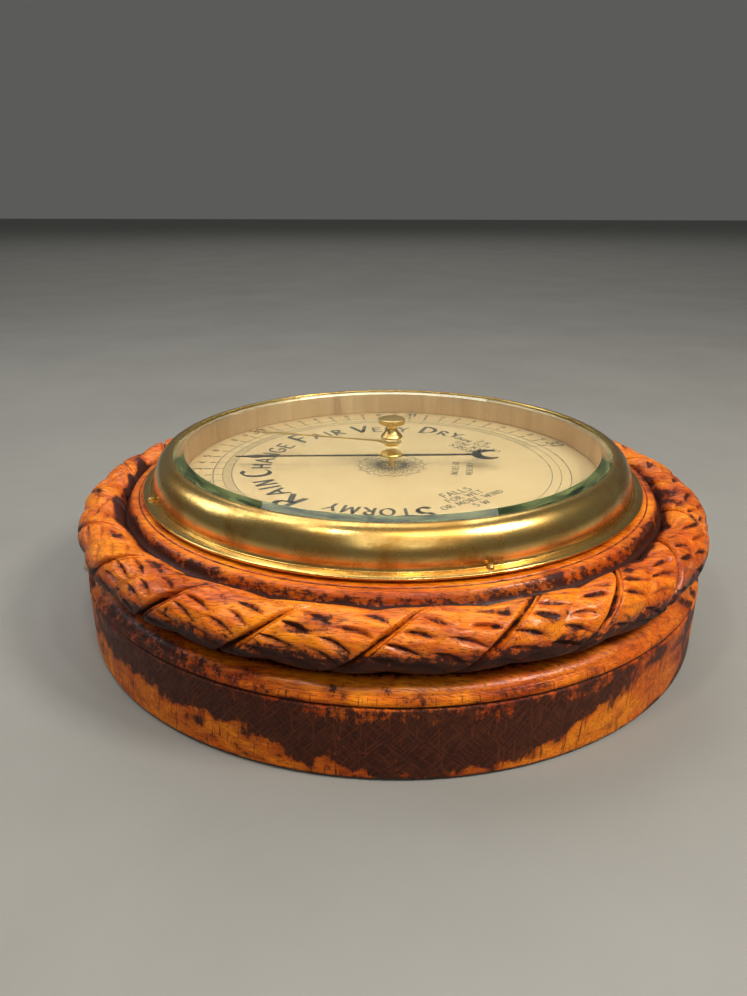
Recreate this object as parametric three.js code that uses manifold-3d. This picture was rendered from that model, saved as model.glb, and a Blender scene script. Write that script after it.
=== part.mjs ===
// Aneroid barometer in a turned and rope-carved oak case, lying on its back.
// Millimetres. +Z points out of the dial, +Y towards the hanger, the origin is the centre of the back face.
import * as THREE from "three";
import { mergeVertices } from "three/addons/utils/BufferGeometryUtils.js";
import Module from "manifold-3d";

const wasm = await Module();
wasm.setup();

// ---------------------------------------------------------------- driving dimensions
const GAP = 0.3; // air left between touching pieces
const CASE_R = 148.5; // oak plinth
const CASE_TOP = 62.6; // wood under the bezel flange
const BACK_THICKNESS = 12.8; // solid oak behind the movement
const RECESS_R = 104.8; // seat turned for the movement drum
const ROPE = { centreR: 138.8, centreZ: 51.1, radius: 11.5, strands: 22, valley: 2.4, lean: 30, start: 3.2 };
const SILL_R = 127.5; // inner ring between bezel and rope
const ROPE_SEAT = { outerR: 134.5, z: 37.8 }; // rabbet that the rope moulding stands in

const DRUM = { radius: 104.3, sheet: 0.9, floorZ: BACK_THICKNESS + GAP, flangeR: 111.3 };
const BEZEL = { flangeR: 120.2, domeR: 115.4, lipR: 105.2, topZ: 80.4, footZ: 63.9, sheet: 1.2 };
const GLASS = { radius: 106, edgeTopZ: 79.0, topZ: 80.9, bottomZ: 76.5, bevel: 5.8, holeR: 3.8 };
const DIAL = { radius: 103, thickness: 1.1, topZ: 63.5, sightR: 101.6 };

const PLATE = { radius: 60, z0: DRUM.floorZ + DRUM.sheet + GAP, thickness: 2 };
const PLATE_TOP = PLATE.z0 + PLATE.thickness;
const DECK = PLATE_TOP + GAP; // where movement parts stand
const CAPSULE = { radius: 31, depth: 4.9, sheet: 0.8 };
const ADJUSTER_Y = -35.5;
const SPRING_PIVOT_Y = -30; // bending line of the mainspring
const LEVER_END_Y = 52;
const ROCKER = { y: 44, z: 27, shaftR: 1.4 };
const CHAIN = { x: -2, z: 46.8 }; // also the winding radius of the arbor
const ARBOR_R = 1.25;
const HAND_Z = 68.5;
const SET_HAND_Z = 75.5;
const HAND_TURN = 10; // degrees anticlockwise from the top of the dial
const SET_HAND_TURN = -6;
const BEZEL_SCREW_R = 117.4;
const BEZEL_SCREW_ANGLES = [31, 115, 207, 299]; // set by hand, degrees anticlockwise from the top

const deg = THREE.MathUtils.degToRad;

// ---------------------------------------------------------------- materials
const finish = (color, roughness, metalness) =>
  new THREE.MeshStandardMaterial({ color, roughness, metalness });
const materials = {
  oak: finish(0xa04a14, 0.5, 0),
  brass: finish(0xc9a24e, 0.3, 1),
  steel: finish(0x8b8d90, 0.4, 1),
  bluedSteel: finish(0x27304a, 0.35, 1),
  glass: new THREE.MeshStandardMaterial({
    color: 0xdfeee6,
    roughness: 0.05,
    metalness: 0,
    transparent: true,
    opacity: 0.3,
  }),
  dial: finish(0xf0dfb8, 0.6, 0),
  tin: finish(0xa9a796, 0.45, 1),
};

// ---------------------------------------------------------------- shape helpers
// A three.js geometry as a manifold solid, with its shared vertices merged.
function solid(geometry) {
  const bare = new THREE.BufferGeometry();
  bare.setAttribute("position", geometry.getAttribute("position"));
  bare.setIndex(geometry.index);
  const merged = mergeVertices(bare, 1e-4);
  const corner = merged.index.array;
  const kept = [];
  for (let i = 0; i < corner.length; i += 3) {
    const [a, b, c] = [corner[i], corner[i + 1], corner[i + 2]];
    if (a !== b && b !== c && c !== a) kept.push(a, b, c); // a lathe collapses faces at its poles
  }
  const mesh = new wasm.Mesh({
    numProp: 3,
    vertProperties: merged.attributes.position.array,
    triVerts: new Uint32Array(kept),
  });
  return new wasm.Manifold(mesh);
}

function geometryOf(body) {
  const mesh = body.getMesh();
  const geometry = new THREE.BufferGeometry();
  geometry.setAttribute("position", new THREE.BufferAttribute(mesh.vertProperties, 3));
  geometry.setIndex(new THREE.BufferAttribute(mesh.triVerts, 1));
  geometry.computeVertexNormals();
  return geometry;
}

const join = (...parts) => geometryOf(parts.map(solid).reduce((a, b) => a.add(b)));
const cut = (base, ...tools) => geometryOf(tools.map(solid).reduce((a, b) => a.subtract(b), solid(base)));

// Turns a profile of [radius, height] pairs about +Z. It starts and ends on the axis.
function turned(profile, segments = 48) {
  const points = profile.map(([r, z]) => new THREE.Vector2(r, z));
  return new THREE.LatheGeometry(points, segments).rotateX(Math.PI / 2);
}

// The same for a ring, whose profile closes on itself.
const ring = (profile, segments = 48) => turned([...profile, profile[0]], segments);

function rod(radius, z0, z1, segments = 12) {
  const geometry = new THREE.CylinderGeometry(radius, radius, z1 - z0, segments);
  return geometry.rotateX(Math.PI / 2).translate(0, 0, (z0 + z1) / 2);
}

function rodAlongX(radius, x0, x1, y, z, segments = 12) {
  const geometry = new THREE.CylinderGeometry(radius, radius, x1 - x0, segments);
  return geometry.rotateZ(Math.PI / 2).translate((x0 + x1) / 2, y, z);
}

function block([x0, x1], [y0, y1], [z0, z1]) {
  const geometry = new THREE.BoxGeometry(x1 - x0, y1 - y0, z1 - z0);
  return geometry.translate((x0 + x1) / 2, (y0 + y1) / 2, (z0 + z1) / 2);
}

function plateOf(shape, z0, thickness, curveSegments = 10) {
  const geometry = new THREE.ExtrudeGeometry(shape, {
    depth: thickness,
    bevelEnabled: false,
    curveSegments,
  });
  // An extrusion has no index, so each corner gets its own.
  geometry.setIndex([...Array(geometry.getAttribute("position").count).keys()]);
  return geometry.translate(0, 0, z0);
}

function outline(points) {
  return new THREE.Shape(points.map(([x, y]) => new THREE.Vector2(x, y)));
}

const at = (geometry, x, y) => geometry.clone().translate(x, y, 0);

// The place at a radius and an angle taken anticlockwise from the top of the dial.
function place(radius, angle) {
  return [-radius * Math.sin(deg(angle)), radius * Math.cos(deg(angle))];
}

// A slotted screw: head from z0 to z1, shank down to tipZ.
function screw(headR, z0, z1, shankR, tipZ) {
  const rise = z1 - z0;
  const body = turned(
    [
      [0, tipZ],
      [shankR * 0.5, tipZ],
      [shankR, tipZ + shankR],
      [shankR, z0],
      [headR, z0],
      [headR, z0 + rise * 0.45],
      [headR * 0.7, z1],
      [0, z1],
    ],
    9,
  );
  const slot = block([-headR - 1, headR + 1], [-0.3, 0.3], [z1 - rise * 0.4, z1 + 1]);
  return cut(body, slot);
}

// ---------------------------------------------------------------- groups
const root = new THREE.Group();
function group(parent, turn = 0) {
  const made = new THREE.Group();
  made.rotation.z = deg(turn);
  parent.add(made);
  return made;
}
function add(parent, name, geometry, material) {
  const mesh = new THREE.Mesh(geometry, material);
  mesh.name = name;
  parent.add(mesh);
  return mesh;
}
const caseWork = group(root);
const front = group(root);
const movement = group(root);
const hand = group(root, HAND_TURN);
const setter = group(root, SET_HAND_TURN);

// ---------------------------------------------------------------- oak case
const hangerScrews = [
  [-7, 126],
  [7, 126],
  [0, 139],
];
const plateScrews = [30, 150, 270].map((angle) => [50 * Math.cos(deg(angle)), 50 * Math.sin(deg(angle))]);
const HANGER = { width: 26, eyeY: 161, eyeR: 5, endR: 12, innerY: 118, z0: 0.25, thickness: 1.8 };

// Sinks the valleys between the strands into a smooth bead.
function carveRope(geometry) {
  const position = geometry.getAttribute("position");
  for (let i = 0; i < position.count; i++) {
    const [x, y, z] = [position.getX(i), position.getY(i), position.getZ(i)];
    const r = Math.hypot(x, y);
    const [dr, dz] = [r - ROPE.centreR, z - ROPE.centreZ];
    if (Math.abs(Math.hypot(dr, dz) - ROPE.radius) > 0.01) continue;
    const section = Math.atan2(dz, dr);
    const azimuth = Math.atan2(y, x);
    const phase = (ROPE.strands / 2) * (azimuth - deg(ROPE.start) - (section * ROPE.lean) / 360);
    const depth = ROPE.valley * (1 - Math.sqrt(Math.abs(Math.sin(phase))));
    const radius = ROPE.radius - depth;
    const newR = ROPE.centreR + radius * Math.cos(section);
    position.setXYZ(i, (x / r) * newR, (y / r) * newR, ROPE.centreZ + radius * Math.sin(section));
  }
  return geometry;
}

function oakCase() {
  const profile = [
    [0, 0],
    [CASE_R - 1, 0],
    [CASE_R, 1],
    [CASE_R, 29.8],
    [CASE_R - 0.9, 30.6],
    [CASE_R - 0.9, 31.4],
    [CASE_R, 32.2],
    [CASE_R - 0.9, 34.4],
    [CASE_R - 3.4, 36.2],
    [ROPE_SEAT.outerR, ROPE_SEAT.z],
    [SILL_R, ROPE_SEAT.z],
    [SILL_R, CASE_TOP - 1],
    [SILL_R - 1, CASE_TOP],
    [RECESS_R, CASE_TOP],
    [RECESS_R, BACK_THICKNESS],
    [0, BACK_THICKNESS],
  ];
  const body = turned(profile, ROPE.strands * 3);
  const rebate = block(
    [-HANGER.width / 2 - GAP, HANGER.width / 2 + GAP],
    [HANGER.innerY - GAP, CASE_R + 10],
    [-1, HANGER.z0 + HANGER.thickness + GAP],
  );
  const adjusterHole = at(rod(5, -1, BACK_THICKNESS + 1, 16), 0, ADJUSTER_Y);
  const pilots = [
    ...hangerScrews.map(([x, y]) => at(rod(1.9, 1, 15), x, y)),
    ...plateScrews.map(([x, y]) => at(rod(1.8, 4.5, 20), x, y)),
    ...BEZEL_SCREW_ANGLES.map((a) => at(rod(1.2, 53, 70), ...place(BEZEL_SCREW_R, a))),
  ];
  return cut(body, rebate, adjusterHole, ...pilots);
}
add(caseWork, "oak_case", oakCase(), materials.oak);

// The rope moulding sits in the rabbet between the ledge and the inner ring.
function ropeRing() {
  const arc = [];
  const [first, last, steps] = [-112, 148, 9];
  for (let i = 0; i <= steps; i++) {
    const a = deg(first + ((last - first) * i) / steps);
    arc.push([ROPE.centreR + ROPE.radius * Math.cos(a), ROPE.centreZ + ROPE.radius * Math.sin(a)]);
  }
  const innerR = SILL_R + GAP;
  const footZ = ROPE_SEAT.z + GAP;
  return carveRope(ring([[innerR, footZ], [ROPE_SEAT.outerR, footZ], ...arc, [innerR, 56.4]], ROPE.strands * 3));
}
add(caseWork, "rope_ring", ropeRing(), materials.oak);

function hangerPlate() {
  const shape = new THREE.Shape();
  shape.moveTo(-HANGER.width / 2, HANGER.innerY);
  shape.lineTo(HANGER.width / 2, HANGER.innerY);
  shape.lineTo(HANGER.width / 2, CASE_R + 2);
  shape.lineTo(HANGER.endR, HANGER.eyeY);
  shape.absarc(0, HANGER.eyeY, HANGER.endR, 0, Math.PI, false);
  shape.lineTo(-HANGER.width / 2, CASE_R + 2);
  const eye = new THREE.Path();
  eye.absarc(0, HANGER.eyeY, HANGER.eyeR, 0, Math.PI * 2, true);
  shape.holes.push(eye);
  const top = HANGER.z0 + HANGER.thickness;
  const sinks = hangerScrews.map(([x, y]) =>
    at(
      turned(
        [
          [0, HANGER.z0 - 0.2],
          [4.1, HANGER.z0 - 0.2],
          [1.9, top - 0.2],
          [1.9, top + 1],
          [0, top + 1],
        ],
        12,
      ),
      x,
      y,
    ),
  );
  return cut(plateOf(shape, HANGER.z0, HANGER.thickness), ...sinks);
}
add(caseWork, "hanger_plate", hangerPlate(), materials.brass);

// Countersunk wood screw, its head down at the back face.
const hangerScrew = cut(
  turned(
    [
      [0, 0.35],
      [3.5, 0.35],
      [1.5, 2.0],
      [1.5, 13],
      [0.6, 14.6],
      [0, 14.6],
    ],
    12,
  ),
  block([-5, 5], [-0.35, 0.35], [-1, 0.95]),
);
hangerScrews.forEach(([x, y], i) => add(caseWork, `hanger_screw_${i + 1}`, at(hangerScrew, x, y), materials.brass));

// ---------------------------------------------------------------- drum, dial, glass and bezel
function movementDrum() {
  const { radius, sheet, floorZ, flangeR } = DRUM;
  const flangeZ = CASE_TOP + GAP;
  const cup = turned([
    [0, floorZ],
    [radius, floorZ],
    [radius, flangeZ],
    [flangeR, flangeZ],
    [flangeR, flangeZ + 0.8],
    [radius - sheet, flangeZ + 0.8],
    [radius - sheet, floorZ + sheet],
    [0, floorZ + sheet],
  ]);
  const holes = plateScrews.map(([x, y]) => at(rod(1.8, floorZ - 1, floorZ + 3), x, y));
  return cut(cup, at(rod(2.4, floorZ - 1, floorZ + 3), 0, ADJUSTER_Y), ...holes);
}
add(front, "movement_drum", movementDrum(), materials.tin);

function bezel() {
  const { flangeR, domeR, lipR, topZ, footZ, sheet } = BEZEL;
  const [crownR, domeFootZ] = [106, 66.3];
  const dome = (inset, from, to, steps) => {
    const points = [];
    for (let i = 0; i <= steps; i++) {
      const a = deg(from + ((to - from) * i) / steps);
      points.push([
        crownR + (domeR - crownR - inset) * Math.cos(a),
        domeFootZ + (topZ - domeFootZ - inset) * Math.sin(a),
      ]);
    }
    return points;
  };
  const profile = [
    [flangeR, footZ],
    [flangeR, footZ + 0.8],
    [flangeR - 0.8, footZ + 1.2],
    [domeR + 1.3, footZ + 1.4],
    [domeR + 0.7, footZ + 1.0],
    ...dome(0, 0, 90, 5),
    [lipR, topZ - 0.1],
    [lipR, topZ - 0.9],
    ...dome(sheet, 78, 0, 3),
    [domeR - sheet, footZ + 1],
  ];
  const holes = BEZEL_SCREW_ANGLES.map((a) => at(rod(1.3, 60, 70), ...place(BEZEL_SCREW_R, a)));
  return cut(ring(profile), ...holes);
}
add(front, "bezel", bezel(), materials.brass);

const bezelScrew = screw(1.5, BEZEL.footZ + 1.9, BEZEL.footZ + 2.9, 0.9, 54);
BEZEL_SCREW_ANGLES.forEach((a, i) => add(front, `bezel_screw_${i + 1}`, at(bezelScrew, ...place(BEZEL_SCREW_R, a)), materials.brass));

add(
  front,
  "glass",
  ring([
    [GLASS.holeR, GLASS.bottomZ],
    [GLASS.radius, GLASS.bottomZ],
    [GLASS.radius, GLASS.edgeTopZ],
    [GLASS.radius - GLASS.bevel, GLASS.topZ],
    [GLASS.holeR, GLASS.topZ],
  ]),
  materials.glass,
);

add(
  front,
  "sight_ring",
  ring([
    [DIAL.sightR, DIAL.topZ + GAP],
    [DIAL.sightR + 1, DIAL.topZ + GAP],
    [DIAL.sightR + 1, GLASS.bottomZ - 1.3],
    [GLASS.radius - 0.2, GLASS.bottomZ - 1.3],
    [GLASS.radius - 0.2, GLASS.bottomZ - GAP],
    [DIAL.sightR, GLASS.bottomZ - GAP],
  ]),
  materials.brass,
);

add(
  front,
  "dial",
  ring([
    [2, DIAL.topZ - DIAL.thickness],
    [DIAL.radius, DIAL.topZ - DIAL.thickness],
    [DIAL.radius, DIAL.topZ],
    [2, DIAL.topZ],
  ]),
  materials.dial,
);

const PILLAR_R = 54;
const pillarPlaces = [60, 180, 300].map((a) => [PILLAR_R * Math.cos(deg(a)), PILLAR_R * Math.sin(deg(a))]);
const pillar = turned(
  [
    [0, PLATE.z0 + 0.1],
    [1.5, PLATE.z0 + 0.1],
    [1.5, DECK],
    [2.6, DECK],
    [2.6, DIAL.topZ - DIAL.thickness - GAP],
    [0, DIAL.topZ - DIAL.thickness - GAP],
  ],
  12,
);
pillarPlaces.forEach(([x, y], i) => add(front, `dial_pillar_${i + 1}`, at(pillar, x, y), materials.brass));

// ---------------------------------------------------------------- movement frame
const BRIDGE = { legX: [33, 39], footX: 47, y: [-41, -25], legY: [-36, -26], topZ: 36.2, plate: 3.2 };
const COCK = { legX: [38, 43], footX: 50, halfY: 5, lowerZ: [43.6, 45], upperZ: [49, 51] };
const FOOT = 2;
const bridgeScrewX = 43.2;
const cockScrewX = 46.8;
const bridgeFootY = (BRIDGE.legY[0] + BRIDGE.legY[1]) / 2;

add(
  movement,
  "base_plate",
  cut(
    rod(PLATE.radius, PLATE.z0, PLATE_TOP, 48),
    ...[...pillarPlaces, ...plateScrews].map(([x, y]) => at(rod(1.8, 10, 20), x, y)),
    at(rod(2.1, 10, 20), 0, ADJUSTER_Y),
    ...[-1, 1].map((s) => at(rod(1.5, 10, 20), s * bridgeScrewX, bridgeFootY)),
    ...[-1, 1].map((s) => at(rod(1.5, 10, 20), s * cockScrewX, 0)),
  ),
  materials.brass,
);

const plateScrew = screw(3, PLATE_TOP + GAP, PLATE_TOP + 2.4, 1.5, 5);
plateScrews.forEach(([x, y], i) => add(movement, `plate_screw_${i + 1}`, at(plateScrew, x, y), materials.steel));

// A leg with its foot, on the side given by the sign.
function leg(sign, legX, footX, [y0, y1], topZ) {
  const span = (a, b) => (sign > 0 ? [a, b] : [-b, -a]);
  return [
    block(span(...legX), [y0, y1], [DECK, topZ]),
    block(span(legX[0], footX), [y0, y1], [DECK, DECK + FOOT]),
  ];
}

add(
  movement,
  "spring_bridge",
  cut(
    join(
      ...leg(1, BRIDGE.legX, BRIDGE.footX, BRIDGE.legY, BRIDGE.topZ),
      ...leg(-1, BRIDGE.legX, BRIDGE.footX, BRIDGE.legY, BRIDGE.topZ),
      block([-BRIDGE.legX[1], BRIDGE.legX[1]], BRIDGE.y, [BRIDGE.topZ - BRIDGE.plate, BRIDGE.topZ]),
    ),
    ...[-1, 1].map((s) => at(rod(1.5, 10, 25), s * bridgeScrewX, bridgeFootY)),
    ...[-9, 9].map((x) => at(rod(1.5, 30, 40), x, -37)),
  ),
  materials.steel,
);

add(
  movement,
  "arbor_cock",
  cut(
    join(
      ...leg(1, COCK.legX, COCK.footX, [-COCK.halfY, COCK.halfY], COCK.upperZ[1]),
      ...leg(-1, COCK.legX, COCK.footX, [-COCK.halfY, COCK.halfY], COCK.upperZ[1]),
      block([-COCK.legX[1], COCK.legX[1]], [-COCK.halfY, COCK.halfY], COCK.upperZ),
      block([-COCK.legX[1], COCK.legX[1]], [-3, 3], COCK.lowerZ),
    ),
    rod(ARBOR_R + GAP, 40, 60),
    ...[-1, 1].map((s) => at(rod(1.5, 10, 25), s * cockScrewX, 0)),
  ),
  materials.brass,
);

const footScrew = screw(2.4, DECK + FOOT + GAP, DECK + FOOT + 2, 1.2, PLATE.z0 + 0.2);
[-1, 1].forEach((s, i) => {
  add(movement, `bridge_screw_${i + 1}`, at(footScrew, s * bridgeScrewX, bridgeFootY), materials.steel);
  add(movement, `cock_screw_${i + 1}`, at(footScrew, s * cockScrewX, 0), materials.steel);
});

// ---------------------------------------------------------------- vacuum capsule, mainspring and lever
const capsuleFootZ = DECK + 3.9;
const seamZ = capsuleFootZ + CAPSULE.depth;

// One corrugated diaphragm, dished towards the side given by the sign.
function diaphragm(sign, seam) {
  const rings = 2;
  const face = (inset) => {
    const points = [];
    for (let i = 0; i <= rings * 4; i++) {
      const share = i / (rings * 4);
      const wave = -0.5 * Math.sin(share * rings * Math.PI * 2);
      const dish = CAPSULE.depth * (1 - Math.pow(share, 4)) - inset;
      points.push([CAPSULE.radius * share, seam + sign * Math.max(dish + wave * (1 - share), 0)]);
    }
    return points;
  };
  const outer = face(0);
  const inner = face(CAPSULE.sheet);
  inner[inner.length - 1] = [CAPSULE.radius - 1, seam];
  const profile = sign > 0 ? [...inner, ...outer.reverse()] : [...outer, ...inner.reverse()];
  return turned(profile, 28);
}
add(movement, "capsule_lower", diaphragm(-1, seamZ), materials.brass);
add(movement, "capsule_upper", diaphragm(1, seamZ + GAP), materials.brass);
add(movement, "capsule_base_post", rod(5, DECK, capsuleFootZ - GAP, 16), materials.brass);

const capsuleTopZ = seamZ + GAP + CAPSULE.depth;
const springZ = BRIDGE.topZ + GAP;
const leverZ = springZ + 1.5 + GAP;
add(
  movement,
  "capsule_top_post",
  turned(
    [
      [0, capsuleTopZ + GAP],
      [3.4, capsuleTopZ + GAP],
      [3.4, springZ - GAP],
      [1.6, springZ - GAP],
      [1.6, leverZ + 3.9],
      [0, leverZ + 3.9],
    ],
    12,
  ),
  materials.steel,
);
add(movement, "post_nut", cut(rod(3, leverZ + 2.5, leverZ + 3.8, 6), rod(1.9, 30, 50)), materials.brass);

add(
  movement,
  "mainspring",
  cut(
    plateOf(
      outline([
        [-15, BRIDGE.y[0] + 0.5],
        [15, BRIDGE.y[0] + 0.5],
        [15, -12],
        [7, 8],
        [-7, 8],
        [-15, -12],
      ]),
      springZ,
      1.5,
    ),
    rod(1.9, 30, 50),
    ...[-9, 9].map((x) => at(rod(1.6, 30, 50), x, -37)),
  ),
  materials.bluedSteel,
);
const clampScrew = screw(2.8, springZ + 1.5 + GAP, springZ + 3.4, 1.2, BRIDGE.topZ - 3);
[-9, 9].forEach((x, i) => add(movement, `clamp_screw_${i + 1}`, at(clampScrew, x, -37), materials.steel));

const LEVER_H = 2.2;
const leverMidZ = leverZ + LEVER_H / 2;
add(
  movement,
  "main_lever",
  cut(
    plateOf(
      outline([
        [-4, -6],
        [4, -6],
        [3, LEVER_END_Y + 3.5],
        [0.2, LEVER_END_Y + 3.5],
        [0.2, 30],
        [-4, 8],
      ]),
      leverZ,
      LEVER_H,
    ),
    rod(1.9, 30, 50),
    rodAlongX(0.7 + 0.25, -10, 10, LEVER_END_Y, leverMidZ, 8),
  ),
  materials.steel,
);
add(movement, "link_pin", rodAlongX(0.65, -0.8, 5.4, LEVER_END_Y, leverMidZ, 8), materials.steel);

// The link is a flat strip beside the lever; its lower eye is open so that the linkage stays a tree.
add(
  movement,
  "link_rod",
  cut(
    join(
      block([3.4, 4.4], [LEVER_END_Y - 1, LEVER_END_Y + 1], [ROCKER.z, leverMidZ]),
      rodAlongX(2.4, 3.4, 4.4, LEVER_END_Y, ROCKER.z),
      rodAlongX(1.7, 3.4, 4.4, LEVER_END_Y, leverMidZ),
    ),
    rodAlongX(0.95, 2, 6, LEVER_END_Y, leverMidZ, 8),
    rodAlongX(1.5, 2, 6, LEVER_END_Y, ROCKER.z, 8),
  ),
  materials.brass,
);

// ---------------------------------------------------------------- rocking bar, chain and arbor
add(
  movement,
  "rocking_bar",
  join(
    rodAlongX(ROCKER.shaftR, -15, 15, ROCKER.y, ROCKER.z),
    block([5.2, 6.6], [ROCKER.y, LEVER_END_Y + 1.2], [ROCKER.z - 1, ROCKER.z + 1]),
    rodAlongX(0.7, 2.6, 5.4, LEVER_END_Y, ROCKER.z, 8),
    block([CHAIN.x - 0.6, CHAIN.x + 0.6], [ROCKER.y - 1, ROCKER.y + 1], [ROCKER.z, CHAIN.z + 1.4]),
  ),
  materials.steel,
);
[-1, 1].forEach((s, i) => {
  const span = s > 0 ? [11, 14] : [-14, -11];
  const post = cut(
    block(span, [ROCKER.y - 3, ROCKER.y + 3], [DECK, ROCKER.z + 3]),
    rodAlongX(ROCKER.shaftR + GAP, -16, 16, ROCKER.y, ROCKER.z),
  );
  add(movement, `rocker_bearing_${i + 1}`, post, materials.brass);
});

// A run of flat links from the winding drum to the tip of the rocking bar's arm.
function chain() {
  const [start, end, pitch] = [0.4, ROCKER.y - 1 - GAP, 1.6];
  const links = [];
  for (let y = start; y + pitch <= end; y += pitch) {
    const wide = links.length % 2 ? 0.3 : 0.45;
    links.push(block([CHAIN.x - GAP - wide, CHAIN.x - GAP], [y, y + pitch + 0.2], [CHAIN.z - wide, CHAIN.z + wide]));
  }
  return join(...links);
}
add(movement, "chain", chain(), materials.steel);

add(
  hand,
  "hand_arbor",
  turned(
    [
      [0, COCK.lowerZ[0] + 0.3],
      [ARBOR_R, COCK.lowerZ[0] + 0.3],
      [ARBOR_R, COCK.lowerZ[1] + GAP],
      [-CHAIN.x, COCK.lowerZ[1] + GAP],
      [-CHAIN.x, COCK.upperZ[0] - GAP],
      [ARBOR_R, COCK.upperZ[0] - GAP],
      [ARBOR_R, 52],
      [2.4, 52],
      [2.4, 53.8],
      [ARBOR_R, 53.8],
      [ARBOR_R, HAND_Z + 1.4],
      [0, HAND_Z + 1.4],
    ],
    14,
  ),
  materials.steel,
);

const HAIRSPRING = { innerR: 3, outerR: 8.4, turns: 3, strip: 0.5, z: 52.1, height: 1.4 };
function hairspring() {
  const { innerR, outerR, turns, strip, z, height } = HAIRSPRING;
  const steps = turns * 12;
  const edge = (offset) => {
    const points = [];
    for (let i = 0; i <= steps; i++) {
      const r = innerR + ((outerR - innerR) * i) / steps + offset;
      const a = (turns * Math.PI * 2 * i) / steps;
      points.push([r * Math.cos(a), r * Math.sin(a)]);
    }
    return points;
  };
  return plateOf(outline([...edge(strip), ...edge(0).reverse()]), z, height);
}
add(movement, "hairspring", hairspring(), materials.bluedSteel);
add(
  movement,
  "hairspring_stud",
  at(rod(0.9, COCK.upperZ[1] + GAP, HAIRSPRING.z + HAIRSPRING.height + 0.6, 8), HAIRSPRING.outerR + HAIRSPRING.strip + 1.3, 0),
  materials.brass,
);

// ---------------------------------------------------------------- hands
function indicatorHand() {
  const blade = outline([
    [-0.8, -41],
    [0.8, -41],
    [0.8, 0],
    [0.4, 62],
    [2.1, 67],
    [0.8, 71.5],
    [0, 77.5],
    [-0.8, 71.5],
    [-2.1, 67],
    [-0.4, 62],
    [-0.8, 0],
  ]);
  const thickness = 0.5;
  const disc = (r, y) => at(rod(r, HAND_Z, HAND_Z + thickness, 24), 0, y);
  const crescent = cut(disc(7.2, -47.5), at(rod(5.4, 60, 80, 24), 0, -50.4));
  return cut(join(plateOf(blade, HAND_Z, thickness), crescent, disc(3, 0)), rod(ARBOR_R + GAP, 60, 80));
}
add(hand, "indicator_hand", indicatorHand(), materials.bluedSteel);

const bossZ = HAND_Z + 0.8;
add(
  hand,
  "hand_boss",
  turned(
    [
      [0, bossZ + 0.9],
      [ARBOR_R + GAP, bossZ + 0.9],
      [ARBOR_R + GAP, bossZ],
      [5.6, bossZ],
      [5.6, bossZ + 0.3],
      [4.8, bossZ + 1.1],
      [3, bossZ + 1.8],
      [0, bossZ + 2.1],
    ],
    20,
  ),
  materials.brass,
);

const SPIGOT_R = 1.5;
add(
  setter,
  "set_hand",
  cut(
    join(
      plateOf(
        outline([
          [-0.9, 0],
          [0.9, 0],
          [0.45, 53],
          [1.5, 56.5],
          [0.45, 60],
          [2, 65],
          [0.4, 70],
          [0, 75.5],
          [-0.4, 70],
          [-2, 65],
          [-0.45, 60],
          [-1.5, 56.5],
          [-0.45, 53],
        ]),
        SET_HAND_Z,
        0.6,
      ),
      rod(4.8, SET_HAND_Z, SET_HAND_Z + 0.6, 20),
    ),
    rod(SPIGOT_R + GAP, 70, 80),
  ),
  materials.brass,
);
add(
  setter,
  "set_collet",
  turned(
    [
      [0, 73.7],
      [2.4, 73.7],
      [3.3, 74.1],
      [3.6, SET_HAND_Z - GAP],
      [SPIGOT_R + GAP, SET_HAND_Z - GAP],
      [SPIGOT_R + GAP, 74.2],
      [0, 74.2],
    ],
    20,
  ),
  materials.brass,
);
add(
  setter,
  "set_knob",
  turned(
    [
      [0, 74.5],
      [SPIGOT_R, 74.5],
      [SPIGOT_R, GLASS.bottomZ - 0.1],
      [GLASS.holeR - GAP, GLASS.bottomZ - 0.1],
      [GLASS.holeR - GAP, GLASS.topZ + GAP],
      [5.1, GLASS.topZ + GAP],
      [5.4, GLASS.topZ + 0.8],
      [3.8, 83.4],
      [2.8, 85.2],
      [2.7, 87],
      [3.6, 88.1],
      [6.4, 88.4],
      [6.5, 88.8],
      [6.5, 90.8],
      [6.2, 91.2],
      [0, 91.2],
    ],
    24,
  ),
  materials.brass,
);

// ---------------------------------------------------------------- pressure adjusting screw, reached from the back
add(
  movement,
  "adjusting_screw",
  at(
    cut(
      turned(
        [
          [0, 9],
          [3.8, 9],
          [3.8, 11.6],
          [1.8, 11.6],
          [1.8, BRIDGE.topZ - BRIDGE.plate - 1],
          [0.8, BRIDGE.topZ - BRIDGE.plate - GAP],
          [0, BRIDGE.topZ - BRIDGE.plate - GAP],
        ],
        16,
      ),
      block([-6, 6], [-0.5, 0.5], [8, 10]),
    ),
    0,
    ADJUSTER_Y,
  ),
  materials.steel,
);

export default root;
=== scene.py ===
import random
from math import atan2, ceil, cos, degrees, pi, radians, sin

import bmesh
import bpy
import numpy as np
from mathutils import Matrix, Vector
from mathutils.geometry import convex_hull_2d


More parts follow.
